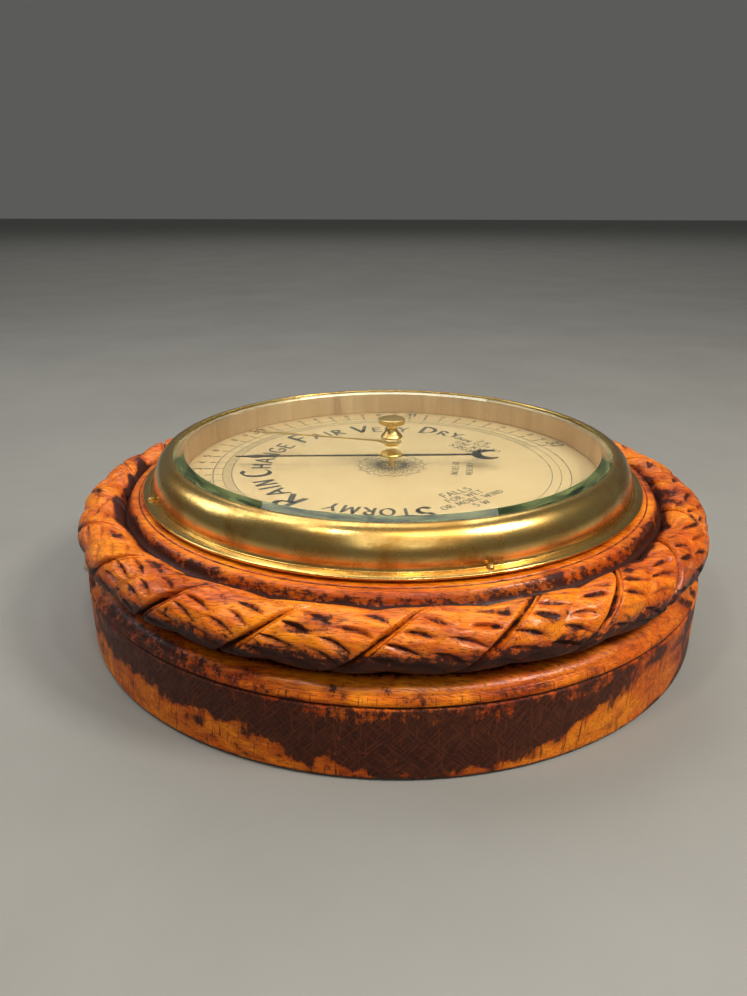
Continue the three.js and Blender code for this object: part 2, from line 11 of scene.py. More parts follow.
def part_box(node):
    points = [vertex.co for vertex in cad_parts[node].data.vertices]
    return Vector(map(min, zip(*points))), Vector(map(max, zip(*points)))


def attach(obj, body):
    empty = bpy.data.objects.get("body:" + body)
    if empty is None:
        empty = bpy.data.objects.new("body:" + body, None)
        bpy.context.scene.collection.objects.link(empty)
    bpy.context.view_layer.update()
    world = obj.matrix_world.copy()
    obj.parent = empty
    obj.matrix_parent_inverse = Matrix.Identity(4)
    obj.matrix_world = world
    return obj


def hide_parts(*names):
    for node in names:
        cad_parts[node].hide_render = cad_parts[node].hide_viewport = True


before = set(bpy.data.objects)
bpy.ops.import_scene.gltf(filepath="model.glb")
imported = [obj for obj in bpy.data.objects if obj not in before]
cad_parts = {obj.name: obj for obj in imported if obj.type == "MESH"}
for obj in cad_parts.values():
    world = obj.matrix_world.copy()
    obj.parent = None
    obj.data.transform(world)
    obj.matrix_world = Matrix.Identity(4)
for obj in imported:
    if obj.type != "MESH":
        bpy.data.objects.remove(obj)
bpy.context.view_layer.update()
mm = 0.001
nearSide = 187.0  # degrees round the dial from its right: the side towards the camera
print("frame loaded,", len(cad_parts), "nodes")

# ---- camera: seen from the dial's left, a little above the rim
cameraSetup = {
    "lens": 27.11,
    "sensor": 36,
    "clip": (0.01, 60),
    "distance": 0.40376,
    "bearing": nearSide,
    "elevation": 27.715,
    "tilt": 6.4766,
    "pan": -1.3434,
    "roll": -0.5295,
}


def newObject(name, data):
    made = bpy.data.objects.new(name, data)
    bpy.context.scene.collection.objects.link(made)
    return made


def directionOf(bearing, elevation):
    around, height = radians(bearing), radians(elevation)
    return Vector((cos(around) * cos(height), sin(around) * cos(height), sin(height)))


def turnAxes(first, second, angle):
    c, s = cos(radians(angle)), sin(radians(angle))
    return c * first - s * second, s * first + c * second


def setCamera(setup):
    away = directionOf(setup["bearing"], setup["elevation"])
    ahead = -away
    right = ahead.cross(Vector((0, 0, 1))).normalized()
    up = right.cross(ahead)
    up, ahead = turnAxes(up, ahead, setup["tilt"])
    right, ahead = turnAxes(right, ahead, setup["pan"])
    right, up = turnAxes(right, up, setup["roll"])
    data = bpy.data.cameras.new("camera")
    data.lens = setup["lens"]
    data.sensor_width = setup["sensor"]
    data.clip_start, data.clip_end = setup["clip"]
    camera = newObject("camera", data)
    camera.rotation_mode = "QUATERNION"
    camera.location = away * setup["distance"]
    axes = Matrix((right, up, -ahead)).transposed()
    camera.rotation_quaternion = axes.to_quaternion()
    bpy.context.scene.camera = camera


setCamera(cameraSetup)


# ---- node helpers
def newMaterial(name):
    made = bpy.data.materials.new(name)
    made.use_nodes = True
    made.node_tree.nodes.clear()
    return made, made.node_tree


def put(tree, kind, sockets=None, **settings):
    node = tree.nodes.new("ShaderNode" + kind)
    for key, value in settings.items():
        setattr(node, key, value)
    for key, value in (sockets or {}).items():
        if isinstance(value, bpy.types.NodeSocket):
            tree.links.new(value, node.inputs[key])
        else:
            node.inputs[key].default_value = value
    return node


def maths(tree, operation, a, b=0.0):
    return put(tree, "Math", {0: a, 1: b}, operation=operation).outputs[0]


def times(tree, a, b):
    return maths(tree, "MULTIPLY", a, b)


def plus(tree, a, b):
    return maths(tree, "ADD", a, b)


def noiseOf(tree, vector, scale, detail=4.0, rough=0.55, distortion=0.0):
    sockets = {"Vector": vector, "Scale": scale, "Detail": detail, "Roughness": rough, "Distortion": distortion}
    return put(tree, "TexNoise", sockets).outputs["Fac"]


def cloudOf(tree, stretch, scale, detail=3, rough=0.6, distortion=0.0):
    # noise across the object, drawn out along an axis whose stretch is below one
    return noiseOf(tree, placeOf(tree, stretch), scale, detail, rough, distortion)


def rampOf(tree, factor, stops):
    node = put(tree, "ValToRGB", {"Fac": factor})
    marks = node.color_ramp.elements
    while len(marks) < len(stops):
        marks.new(0.5)
    for mark, (place, colour) in zip(marks, stops):
        mark.position = place
        mark.color = (*colour, 1) if len(colour) == 3 else colour
    return node.outputs["Color"]


def levels(tree, factor, low, high, fromLow=0.0, fromHigh=1.0):
    sockets = {"Value": factor, "From Min": fromLow, "From Max": fromHigh, "To Min": low, "To Max": high}
    return put(tree, "MapRange", sockets).outputs["Result"]


def blendColour(tree, factor, a, b, mode="MIX"):
    node = put(tree, "Mix", data_type="RGBA", blend_type=mode)
    for index, value in ((0, factor), (6, a), (7, b)):
        if isinstance(value, bpy.types.NodeSocket):
            tree.links.new(value, node.inputs[index])
        else:
            node.inputs[index].default_value = value if index == 0 else (*value, 1)
    return node.outputs[2]


def placeOf(tree, scale):
    here = put(tree, "TexCoord").outputs["Object"]
    return put(tree, "Mapping", {"Vector": here, "Scale": scale}).outputs["Vector"]


def aroundAxis(tree):
    # angle round the dial's axis in radians, distance from it and height, in metres
    here = put(tree, "TexCoord").outputs["Object"]
    parts = put(tree, "SeparateXYZ", {"Vector": here})
    x, y, z = parts.outputs
    angle = maths(tree, "ARCTAN2", y, x)
    flat = put(tree, "CombineXYZ", {"X": x, "Y": y})
    reach = put(tree, "VectorMath", {0: flat.outputs[0]}, operation="LENGTH").outputs["Value"]
    return angle, reach, z


def unrolled(tree, girth):
    # the turned surface laid out flat, a whole turn being as long as that of a ring of the girth's radius
    angle, reach, height = aroundAxis(tree)
    sockets = {"X": times(tree, angle, girth), "Y": reach, "Z": height}
    return put(tree, "CombineXYZ", sockets).outputs[0]


def bumpOf(tree, height, distance, strength=1.0, below=None):
    sockets = {"Height": height, "Distance": distance, "Strength": strength}
    if below is not None:
        sockets["Normal"] = below
    return put(tree, "Bump", sockets).outputs["Normal"]


def finishWith(made, sockets):
    shader = put(made.node_tree, "BsdfPrincipled", sockets)
    put(made.node_tree, "OutputMaterial", {"Surface": shader.outputs[0]})
    return made


def attributeOf(tree, name):
    return put(tree, "Attribute", attribute_name=name).outputs["Fac"]


# ---- oak: straight grain along the dial's height, stain and painted shade in the hollows, varnish over all
oakLook = {
    "light": (0.92, 0.285, 0.006),
    "mid": (0.68, 0.138, 0.003),
    "deep": (0.30, 0.042, 0.002),
    # dark colour of the old polish, also used for the painted shade in the hollows and under the rope
    "stainAndShade": (0.026, 0.007, 0.005),
    "pore": (0.105, 0.014, 0.003),
    "redder": (1.0, 0.62, 0.55),
    "shadow": (0.45, 0.24, 0.18),
    # multiplied in by the mesh mask: painted shade in the hollows and on the rope's lower half, together with real
    # stain
    "grimeAndShade": (0.5, 0.27, 0.2),
    "specular": 0.16,
    "coat": 0.42,
    "coatRoughness": 0.15,
}
wornLook = {**oakLook, "coat": 0.55, "coatRoughness": 0.24, "scratch": (0.33, 0.085, 0.02)}
scratches = {
    # lean in degrees, scale, how much longer than wide, and the levels between which a line fades in
    "rising": (43, 2100, 22, 0.53, 0.60),
    "falling": (-46, 2300, 22, 0.54, 0.61),
    "upright": (2, 1000, 14, 0.60, 0.66),
}
plinthRadius = 0.1485
plinthSide = (0.1462, 0.1474)  # distances from the axis between which the side begins


def scratchesOf(tree, sheet, lean, scale, stretch, low, high):
    turn = (0, 0, radians(lean))
    turned = put(tree, "Mapping", {"Vector": sheet, "Rotation": turn}).outputs[0]
    drawn = put(tree, "Mapping", {"Vector": turned, "Scale": (1, 1 / stretch, 1)}).outputs[0]
    return levels(tree, noiseOf(tree, drawn, scale, 2, 0.5), 0, 1, low, high)


def oakMaterial(name, look):
    made, tree = newMaterial(name)
    worn = "scratch" in look
    soft = cloudOf(tree, (1, 0.35, 1), 38, 5, 0.6, 0.6)
    streak = cloudOf(tree, (1, 0.055, 1), 620, 5, 0.62, 0.4)
    fine = cloudOf(tree, (1, 0.10, 1), 2300)
    tone = plus(tree, times(tree, soft, 0.62), times(tree, streak, 0.42))
    colour = rampOf(tree, tone, [(0.36, look["deep"]), (0.48, look["mid"]), (0.61, look["light"])])
    redder = levels(tree, cloudOf(tree, (1, 0.5, 1), 75, 4), 0, 0.45, 0.46, 0.68)
    colour = blendColour(tree, redder, colour, look["redder"], "MULTIPLY")
    pores = levels(tree, fine, 0, 1, 0.53, 0.64)
    colour = blendColour(tree, times(tree, pores, 0.7), colour, look["pore"])
    shadow = levels(tree, cloudOf(tree, (1, 0.6, 1), 55, 6, 0.66, 0.8), 0, 0.45, 0.5, 0.7)
    colour = blendColour(tree, shadow, colour, look["shadow"], "MULTIPLY")

    # stain and painted shade from the mesh, its edge broken up by two noises
    grimeAndShade = attributeOf(tree, "stainAndShade")
    mottle = cloudOf(tree, (1, 1, 1), 260, 6, 0.72)
    edgy = cloudOf(tree, (1, 1, 0.22) if worn else (1, 0.3, 1), 700, 4, 0.7)
    broad = times(tree, maths(tree, "SUBTRACT", mottle, 0.5), 1.5)
    ragged = plus(tree, broad, maths(tree, "SUBTRACT", edgy, 0.5))
    dark = levels(tree, plus(tree, grimeAndShade, ragged), 0, 1, 0.38, 0.60)
    # the mask darkens the hollows, the rope's lower half and the ledge under the rope as painted shade, and the old
    # polish as real stain
    colour = blendColour(tree, levels(tree, grimeAndShade, 0, 0.85, 0.04, 0.5), colour, look["grimeAndShade"], "MULTIPLY")
    colour = blendColour(tree, times(tree, dark, 0.95), colour, look["stainAndShade"])
    relief = maths(tree, "SUBTRACT", times(tree, streak, 0.5), times(tree, pores, 0.8))
    gloss = levels(tree, dark, look["coat"], 0.25 * look["coat"])

    if worn:
        # the side as a flat sheet: length round it, then height
        angle, reach, height = aroundAxis(tree)
        sheet = put(tree, "CombineXYZ", {"X": times(tree, angle, plinthRadius), "Y": height}).outputs[0]
        rising, falling, upright = (scratchesOf(tree, sheet, *kind) for kind in scratches.values())
        lines = maths(tree, "MAXIMUM", maths(tree, "MAXIMUM", rising, falling), upright)
        side = levels(tree, reach, 0, 1, *plinthSide)
        rubbed = times(tree, times(tree, lines, dark), side)
        colour = blendColour(tree, times(tree, rubbed, 0.2), colour, look["scratch"])
        cracks = times(tree, upright, times(tree, side, maths(tree, "SUBTRACT", 1.0, dark)))
        colour = blendColour(tree, times(tree, cracks, 0.75), colour, look["stainAndShade"])
        relief = maths(tree, "SUBTRACT", relief, times(tree, times(tree, lines, side), 0.6))
        gloss = times(tree, gloss, levels(tree, side, 1, 0.14))
    bump = bumpOf(tree, mottle, 0.0004, 0.35, bumpOf(tree, relief, 0.00022, 0.65))
    glaze = bumpOf(tree, relief, 0.00012, 0.5, bumpOf(tree, mottle, 0.0004, 0.3))
    return finishWith(made, {
        "Base Color": colour, "Roughness": levels(tree, mottle, 0.34, 0.56, 0.3, 0.7), "Normal": bump,
        "IOR": 1.48, "Specular IOR Level": look["specular"],
        "Coat Weight": gloss, "Coat Roughness": look["coatRoughness"], "Coat Normal": glaze,
    })


# ---- brass: spun or filed, with brown patches where the lacquer is gone
def brassMaterial(name, bright, brown, patches, rough, spun=True):
    made, tree = newMaterial(name)
    if spun:
        lines = noiseOf(tree, unrolled(tree, 0.004), 5200, 3, 0.6)
        slow = noiseOf(tree, unrolled(tree, 0.03), 260, 4, 0.6)
    else:
        lines = cloudOf(tree, (0.08, 1, 1), 3800)
        slow = cloudOf(tree, (0.4, 1, 1), 300, 4)
    cloud = cloudOf(tree, (1, 1, 1), 42, 6, 0.62, 0.5)
    speck = cloudOf(tree, (1, 1, 1), 900)
    worn = plus(tree, times(tree, cloud, 0.8), times(tree, slow, 0.2))
    colour = blendColour(tree, levels(tree, worn, 0, patches, 0.43, 0.61), bright, brown)
    spots = levels(tree, speck, 0, 0.55, 0.64, 0.72)
    colour = blendColour(tree, spots, colour, tuple(0.45 * c for c in brown))
    roughness = plus(tree, levels(tree, worn, rough, rough + 0.16, 0.4, 0.7), levels(tree, lines, 0, 0.05))
    bump = bumpOf(tree, cloud, 0.0004, 0.12, bumpOf(tree, lines, 0.00003, 0.5))
    return finishWith(made, {"Base Color": colour, "Metallic": 1.0, "Roughness": roughness, "Normal": bump})


def metalMaterial(name, colour, tint, rough, grain=(0.1, 1, 1)):
    made, tree = newMaterial(name)
    lines = cloudOf(tree, grain, 3000)
    cloud = cloudOf(tree, grain, 150, 5)
    shade = blendColour(tree, levels(tree, cloud, 0, 1, 0.38, 0.66), colour, tint)
    roughness = levels(tree, cloud, rough, rough + 0.18, 0.3, 0.7)
    bump = bumpOf(tree, lines, 0.00003, 0.5)
    return finishWith(made, {"Base Color": shade, "Metallic": 1.0, "Roughness": roughness, "Normal": bump})


# ---- plate glass: the lamps shine through it to the dial, and light caught between its faces is painted as a green diffuse surface
glassLook = {
    "tint": (0.965, 0.99, 0.975, 1), "depthColour": (0.42, 0.80, 0.60, 1), "density": 14.0,
    "caught": (0.42, 0.46, 0.24), "caughtDark": (0.045, 0.075, 0.045),
    "caughtAfter": 2.5,  # passes through or off the faces
    "shadowTint": (0.90, 0.94, 0.91, 1),
}


def glassMaterial(name, look):
    made, tree = newMaterial(name)
    smear = cloudOf(tree, (1, 1, 1), 60, 4)
    body = put(tree, "BsdfPrincipled", {
        "Base Color": look["tint"], "Roughness": 0.0, "IOR": 1.52, "Transmission Weight": 1.0,
        "Normal": bumpOf(tree, smear, 0.00002, 0.04),
    })
    path = put(tree, "LightPath").outputs
    inside = put(tree, "NewGeometry").outputs["Backfacing"]
    # past a few bounces inside the glass a plain green diffuse surface stands in for the trapped light: painted
    # light in the bevel
    often = maths(tree, "GREATER_THAN", path["Glossy Depth"], look["caughtAfter"])
    direct = maths(tree, "LESS_THAN", path["Diffuse Depth"], 0.5)
    caught = times(tree, times(tree, often, inside), direct)
    streak = noiseOf(tree, unrolled(tree, 0.012), 420, 4, 0.6)
    green = blendColour(tree, levels(tree, streak, 0, 1, 0.40, 0.58), look["caught"], look["caughtDark"])
    ended = put(tree, "BsdfDiffuse", {"Color": green})
    solid = put(tree, "MixShader", {0: caught, 1: body.outputs[0], 2: ended.outputs[0]})
    clear = put(tree, "BsdfTransparent", {"Color": look["shadowTint"]})
    shadow = path["Is Shadow Ray"]
    both = put(tree, "MixShader", {0: shadow, 1: solid.outputs[0], 2: clear.outputs[0]})
    depth = put(tree, "VolumeAbsorption", {"Color": look["depthColour"], "Density": look["density"]})
    put(tree, "OutputMaterial", {"Surface": both.outputs[0], "Volume": depth.outputs[0]})
    return made


dialLook = {
    "ivory": (0.53, 0.35, 0.178), "cloud": (0.485, 0.31, 0.15), "edge": (0.45, 0.28, 0.14),
    "speck": (0.30, 0.20, 0.10), "edgeFrom": 0.085, "edgeTo": 0.103,
}


def dialMaterial(name, look):
    made, tree = newMaterial(name)
    cloud = cloudOf(tree, (1, 1, 1), 36, 5, 0.6, 0.4)
    speck = cloudOf(tree, (1, 1, 1), 1400)
    reach = aroundAxis(tree)[1]
    colour = blendColour(tree, levels(tree, cloud, 0, 1, 0.35, 0.7), look["ivory"], look["cloud"])
    edge = levels(tree, reach, 0, 0.5, look["edgeFrom"], look["edgeTo"])
    colour = blendColour(tree, edge, colour, look["edge"])
    colour = blendColour(tree, levels(tree, speck, 0, 0.35, 0.66, 0.74), colour, look["speck"])
    return finishWith(made, {
        "Base Color": colour, "Roughness": levels(tree, cloud, 0.38, 0.52), "IOR": 1.5,
        "Normal": bumpOf(tree, speck, 0.00004, 0.3),
    })


def inkMaterial(name, colour):
    made, tree = newMaterial(name)
    uneven = cloudOf(tree, (1, 1, 1), 1600, 4, 0.7)
    lighter = tuple(min(1, 3.2 * c + 0.03) for c in colour)
    shade = blendColour(tree, levels(tree, uneven, 0, 0.8, 0.42, 0.75), colour, lighter)
    return finishWith(made, {"Base Color": shade, "Roughness": levels(tree, uneven, 0.45, 0.7)})


finishes = {
    "oak": oakMaterial("carvedOak", oakLook),
    "wornOak": oakMaterial("wornOak", wornLook),
    "bezel": brassMaterial("spunBrass", (0.90, 0.61, 0.20), (0.47, 0.24, 0.05), 0.9, 0.17),
    "fittings": brassMaterial("filedBrass", (0.84, 0.61, 0.24), (0.44, 0.26, 0.08), 0.6, 0.25, False),
    "sight": metalMaterial("dullBrass", (0.58, 0.395, 0.225), (0.74, 0.54, 0.33), 0.36, (1, 1, 0.06)),
    "works": brassMaterial("worksBrass", (0.72, 0.55, 0.26), (0.45, 0.30, 0.12), 0.5, 0.32, False),
    "glass": glassMaterial("plateGlass", glassLook),
    "dial": dialMaterial("ivoryDial", dialLook),
    "ink": inkMaterial("dialInk", (0.030, 0.022, 0.016)),
    "blued": metalMaterial("bluedSteel", (0.035, 0.040, 0.075), (0.075, 0.050, 0.045), 0.24),
    "steel": metalMaterial("greySteel", (0.46, 0.45, 0.43), (0.30, 0.28, 0.25), 0.34),
    "tin": metalMaterial("tinnedSheet", (0.58, 0.57, 0.53), (0.40, 0.38, 0.33), 0.42),
}
print("finishes made")


# ---- mesh helpers
def placePiece(name, mesh, finish, stands, sharp, body):
    mesh.shade_smooth()
    mesh.set_sharp_from_angle(angle=radians(sharp))
    mesh.materials.append(finishes[finish])
    piece = newObject(name, mesh)
    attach(piece, body)
    if stands:
        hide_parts(*stands)
    return piece


def addPiece(
    name, points, faces, finish, stands, stainAndShade=None, sharp=32, normals=True, body="barometer"
):
    mesh = bpy.data.meshes.new(name)
    mesh.from_pydata(np.asarray(points).tolist(), [], faces)
    if stainAndShade is not None:
        layer = mesh.attributes.new("stainAndShade", "FLOAT", "POINT")
        layer.data.foreach_set("value", np.asarray(stainAndShade, dtype=np.float32).ravel())
    work = bmesh.new()
    work.from_mesh(mesh)
    bmesh.ops.remove_doubles(work, verts=work.verts, dist=1e-7)
    if normals:
        bmesh.ops.recalc_face_normals(work, faces=work.faces)
    work.to_mesh(mesh)
    work.free()
    return placePiece(name, mesh, finish, stands, sharp, body)


def softened(corners, closed=False, steps=5):
    # corners are (radius, height, fillet); each fillet becomes a short curve with a holding point on either side
    out = []
    for i, (x, y, fillet) in enumerate(corners):
        here = np.array((x, y), float)
        if fillet <= 0 or (not closed and i in (0, len(corners) - 1)):
            out.append(here)
            continue
        back = np.array(corners[i - 1][:2]) - here
        ahead = np.array(corners[(i + 1) % len(corners)][:2]) - here
        reachBack, reachAhead = np.linalg.norm(back), np.linalg.norm(ahead)
        back, ahead = back / reachBack, ahead / reachAhead
        cut = min(fillet, 0.38 * reachBack, 0.38 * reachAhead)
        out.append(here + back * min(1.7 * cut, 0.46 * reachBack))
        for k in range(steps + 1):
            t = k / steps
            out.append(here + (1 - t) ** 2 * cut * back + t * t * cut * ahead)
        out.append(here + ahead * min(1.7 * cut, 0.46 * reachAhead))
    return np.array(out)


def filled(profile, step, plainWithin=0.0):
    # adds points so that no span of the profile is longer than the step, or five steps within a hidden plain part
    out = [profile[0]]
    for a, b in zip(profile[:-1], profile[1:]):
        longest = step if max(a[0], b[0]) > plainWithin else 5 * step
        parts = max(1, int(ceil(np.linalg.norm(b - a) / longest)))
        out += [a + (b - a) * k / parts for k in range(1, parts + 1)]
    return np.array(out)


def gridFaces(rows, columns, closedRows):
    faces = []
    for i in range(rows if closedRows else rows - 1):
        a, b = i * columns, ((i + 1) % rows) * columns
        for j in range(columns):
            k = (j + 1) % columns
            faces.append((a + j, a + k, b + k, b + j))
    return faces


def latheRows(profile, segments):
    # angle of each column, and radius and height of every point
    angle = np.linspace(0, 2 * pi, segments, endpoint=False)
    return angle, profile[:, :1] + 0 * angle, profile[:, 1:] + 0 * angle


def ringPoints(radius, angle, height):
    return np.stack([radius * np.cos(angle), radius * np.sin(angle), height], -1).reshape(-1, 3) * mm


def lathed(name, corners, finish, stands, segments, closed=True, sharp=32, body="barometer"):
    profile = softened(corners, closed)
    angle, radius, height = latheRows(profile, segments)
    faces = gridFaces(len(profile), segments, closed)
    return addPiece(name, ringPoints(radius, angle, height), faces, finish, stands, sharp=sharp, body=body)


def ease(value, low, high):
    t = np.clip((value - low) / (high - low), 0, 1)
    return t * t * (3 - 2 * t)


# ---- plinth: the turned base with its bead and rounded ledge, recessed for the movement
plinthShape = {
    "segments": 640,
    "radius": 148.5,
    "backThickness": 12.8,
    "recess": 104.8,
    "unevenness": 0.12,  # of the hand-turned side
    "plainWithin": 132,  # radius of the hidden part, with a coarser mesh
    "meshStep": 1.9,
    "hangerSlot": ((-13.3, 117.7, -1), (13.3, 160, 2.35)),
    "adjusterHole": (0, -35.5, 5, -1, 20),  # x, y, radius, from, to
}


def waves(angle, seeds):
    total = 0 * angle
    for count, size, phase in seeds:
        total = total + size * np.sin(count * angle + phase)
    return total


def patchNoise(x, y, seed, period=None):
    # smooth random patches one unit across, repeating in x after the period
    ix, iy = np.floor(x), np.floor(y)
    fx, fy = ease(x - ix, 0, 1), ease(y - iy, 0, 1)

    def corner(i, j):
        column = (ix + i) % period if period else ix + i
        return np.abs(np.sin(column * 127.1 + (iy + j) * 311.7 + seed * 74.7) * 4375.85) % 1

    low = corner(0, 0) * (1 - fx) + corner(1, 0) * fx
    high = corner(0, 1) * (1 - fx) + corner(1, 1) * fx
    return low * (1 - fy) + high * fy


# lower limit of the old dark polish, in degrees round from the near side and mm up
polishEdge = {
    "seen": (-80, -70, -62, -46, 36, 44),  # fades in by the first four and out by the last two
    "rightward": (-34, -6),
    "bearing": (-78, -70, -58, -48, -38, -22, -12, -4, 6, 14, 22, 29, 35, 41),
    "height": (27, 22, 15, 16, 17, 14, 7, 3, 2, 4, 9, 13, 17, 21),
}


def plinthStain(angle, height, look):
    bearing = (np.degrees(angle) - nearSide + 180) % 360 - 180
    turn = bearing + 180
    ragged = 9 * (patchNoise(turn / 4, height / 9, 1, 90) - 0.5)
    ragged = ragged + 6 * (patchNoise(turn / 1.2, height / 4, 2, 300) - 0.5)
    edge = np.interp(bearing, look["bearing"], look["height"]) + ragged
    startLow, startHigh, fullLow, fullHigh, endLow, endHigh = look["seen"]
    leaving = ease(bearing, endLow, endHigh)
    seen = 0.45 * ease(bearing, startLow, startHigh) + 0.55 * ease(bearing, fullLow, fullHigh)
    rightward = ease(bearing, *look["rightward"])
    band = ease(height, edge - 5, edge + 5) * (1 - (0.1 + 0.38 * rightward) * ease(height, 19, 28))
    band = band * seen * (1 - leaving) * (1 - (0.3 + 0.6 * rightward) * ease(height, 29, 31.5))
    clouds = patchNoise(turn / 15, height / 14, 3, 24) * 0.6 + patchNoise(turn / 5, height / 7, 4, 72) * 0.4
    flecks = patchNoise(turn / 2, height / 3, 9, 180)
    below = 0.42 * (1 - band) * ease(flecks * 0.6 + clouds * 0.5, 0.5, 0.85)
    band = band * (0.66 + 0.45 * clouds + 0.2 * flecks) + below
    elsewhere = (1 - ease(bearing, -84, -76) * (1 - leaving)) * ease(clouds, 0.42, 0.72)
    return np.clip(band + elsewhere * (1 - 0.7 * ease(height, 25, 30)) * 0.85, 0, 1)


def makePlinth(shape):
    r = shape["radius"]
    ledge = [(138 + 8.1 * cos(a), 34.0 + 3.6 * sin(a), 0) for a in np.radians(np.linspace(0, 90, 12))]
    corners = [
        (0, 0, 0), (shape["plainWithin"], 0, 0), (r - 1.2, 0, 0.6), (r - 0.1, 1.2, 0.9), (r, 3.4, 0.5),
        (r, 29.0, 0.5), (r - 0.2, 29.6, 0.4), (r - 1.2, 30.0, 0.3), (r - 1.1, 30.4, 0.3), (r - 0.4, 31.0, 0.4),
        (r - 0.3, 32.2, 0.7), (r - 0.9, 33.4, 0.6), (r - 2.2, 33.7, 0.2), *ledge,
        (134.5, 37.8, 1), (131.5, 38.2, 1), (130, 41, 0.5),
        (shape["recess"], 41, 0.3), (shape["recess"], shape["backThickness"], 0.3), (0, shape["backThickness"], 0),
    ]
    profile = filled(softened(corners, steps=3), shape["meshStep"], shape["plainWithin"])
    angle, radius, height = latheRows(profile, shape["segments"])
    outside = ease(radius, 125, 140)
    wander = waves(angle, [(2, 0.5, 1.0), (7, 0.25, 2.2), (23, 0.15, 0.3)]) * shape["unevenness"]
    nicks = waves(angle + 0.02 * height, [(61, 0.5, 0.7), (97, 0.4, 2.9), (151, 0.4, 5.1)])
    nicks = np.clip(nicks - 0.75, 0, 1) * np.exp(-((height - 1) / 1.6) ** 2) * 0.9
    radius = radius + outside * (wander - 0.12 - nicks)
    stainAndShade = plinthStain(angle, height, polishEdge) * ease(radius, 138, 147)
    # darker along the small groove on the side and along the bottom edge, and painted shade on the ledge beneath the
    # rope
    quirk = np.exp(-((height - 30.1) / 0.45) ** 2) * (radius > 146) * 0.75
    shadeUnderRope = (1 - ease(radius, 136.5, 143)) * (height > 30)
    foot = np.exp(-(height / 1.3) ** 2) * 0.8 * (radius > 140)
    stainAndShade = np.maximum.reduce([stainAndShade, quirk, shadeUnderRope * 0.9, foot])
    points, faces = ringPoints(radius, angle, height), gridFaces(len(profile), shape["segments"], False)
    return addPiece("plinth", points, faces, "wornOak", ["oak_case"], stainAndShade)


def hollow(piece, cutters):
    # takes the cutters out of the piece for good
    for points, faces in cutters:
        mesh = bpy.data.meshes.new("cutter")
        mesh.from_pydata(np.asarray(points).tolist(), [], faces)
        cutter = newObject("cutter", mesh)
        step = piece.modifiers.new("hollow", "BOOLEAN")
        step.operation, step.solver, step.object = "DIFFERENCE", "EXACT", cutter
        view = bpy.context.evaluated_depsgraph_get()
        solved = bpy.data.meshes.new_from_object(piece.evaluated_get(view), depsgraph=view)
        piece.modifiers.clear()
        piece.data = solved
        bpy.data.objects.remove(cutter)


def boxCutter(low, high):
    (a, b, c), (d, e, f) = low, high
    points = np.array([(a, b, c), (d, b, c), (d, e, c), (a, e, c), (a, b, f), (d, b, f), (d, e, f), (a, e, f)])
    faces = [(0, 3, 2, 1), (4, 5, 6, 7), (0, 1, 5, 4), (1, 2, 6, 5), (2, 3, 7, 6), (3, 0, 4, 7)]
    return points * mm, faces


def rodCutter(x, y, radius, low, high, sides=40):
    turns = np.linspace(0, 2 * pi, sides, endpoint=False)
    ring = [(x + radius * cos(t), y + radius * sin(t)) for t in turns]
    points = np.array([(px, py, low) for px, py in ring] + [(px, py, high) for px, py in ring])
    faces = [tuple(reversed(range(sides))), tuple(range(sides, 2 * sides))]
    faces += [(i, (i + 1) % sides, sides + (i + 1) % sides, sides + i) for i in range(sides)]
    return points * mm, faces


plinth = makePlinth(plinthShape)
hollow(plinth, [boxCutter(*plinthShape["hangerSlot"]), rodCutter(*plinthShape["adjusterHole"])])
print("plinth turned")

# ---- inner ring: the sill that the bezel sits on, with a dark cove outside it
innerRing = {
    "segments": 540,
    "meshStep": 1.2,
    "corners": [
        (104.8, 40, 0), (104.8, 62.6, 0.3), (121.7, 62.6, 0.3), (122.2, 62.05, 0.3), (122.9, 62.2, 0.3),
        (125.2, 62.0, 0.9), (126.4, 60.6, 1.0), (127.3, 58.0, 1.2), (129.2, 56.2, 1.0), (131, 50, 0.5), (131, 40, 0),
    ],
}


def makeInnerRing(shape):
    profile = softened(shape["corners"], True)
    profile = filled(np.vstack([profile, profile[:1]]), shape["meshStep"])[:-1]
    angle, radius, height = latheRows(profile, shape["segments"])
    # painted shade in the cove and in the groove beside the bezel's flange, with random stain blotches over it
    cove = ease(radius, 122.8, 127.2) * 0.46 + ease(radius, 126.6, 129) * 0.5
    line = np.exp(-((radius - 122.25) / 0.35) ** 2) * 0.6 * (height > 60)
    turn = np.degrees(angle) % 360
    blotch = patchNoise(turn / 9, radius / 4, 11, 40) * 0.6 + patchNoise(turn / 3, radius / 2, 12, 120) * 0.4
    stainAndShade = np.maximum(cove + 0.34 * ease(blotch, 0.4, 0.8), line)
    points, faces = ringPoints(radius, angle, height), gridFaces(len(profile), shape["segments"], True)
    return addPiece("innerRing", points, faces, "oak", ["oak_case"], stainAndShade)


makeInnerRing(innerRing)

# ---- rope: twenty-two leaning strands, each with two columns of gouge cuts
ropeShape = {
    "centreR": 138.8, "centreZ": 51.1, "radius": 11.5,
    "strands": 22, "start": 183.2, "lean": 0.083,  # degrees round the dial for each degree up the section
    "columns": 48,  # of mesh across a strand
    "rows": ((-112, -64, 7), (-64, 122, 77), (122, 152, 5), (152, 248, 5)),  # degrees from, to, rows of mesh
    "valley": 3.2, "valleyWidth": 2.4, "crown": 1.4, "unevenness": 0.5,
    "secondLine": (2.9, 0.8, 0.8),  # how far from the valley, width, depth
    "seed": 21, "cutShift": 6, "cutWander": (0.5, 3), "shallow": (0.12, 0.55),  # share of cuts, and their depth
    "cutRows": (97, 71, 45, 19, -7, -32), "cutPlaces": (4.6, 11.7),
    "cutLength": (6.2, 8.4), "cutWidth": (1.8, 2.5), "cutDepth": (1.5, 2.2), "cutTilt": (-29, -12),
}


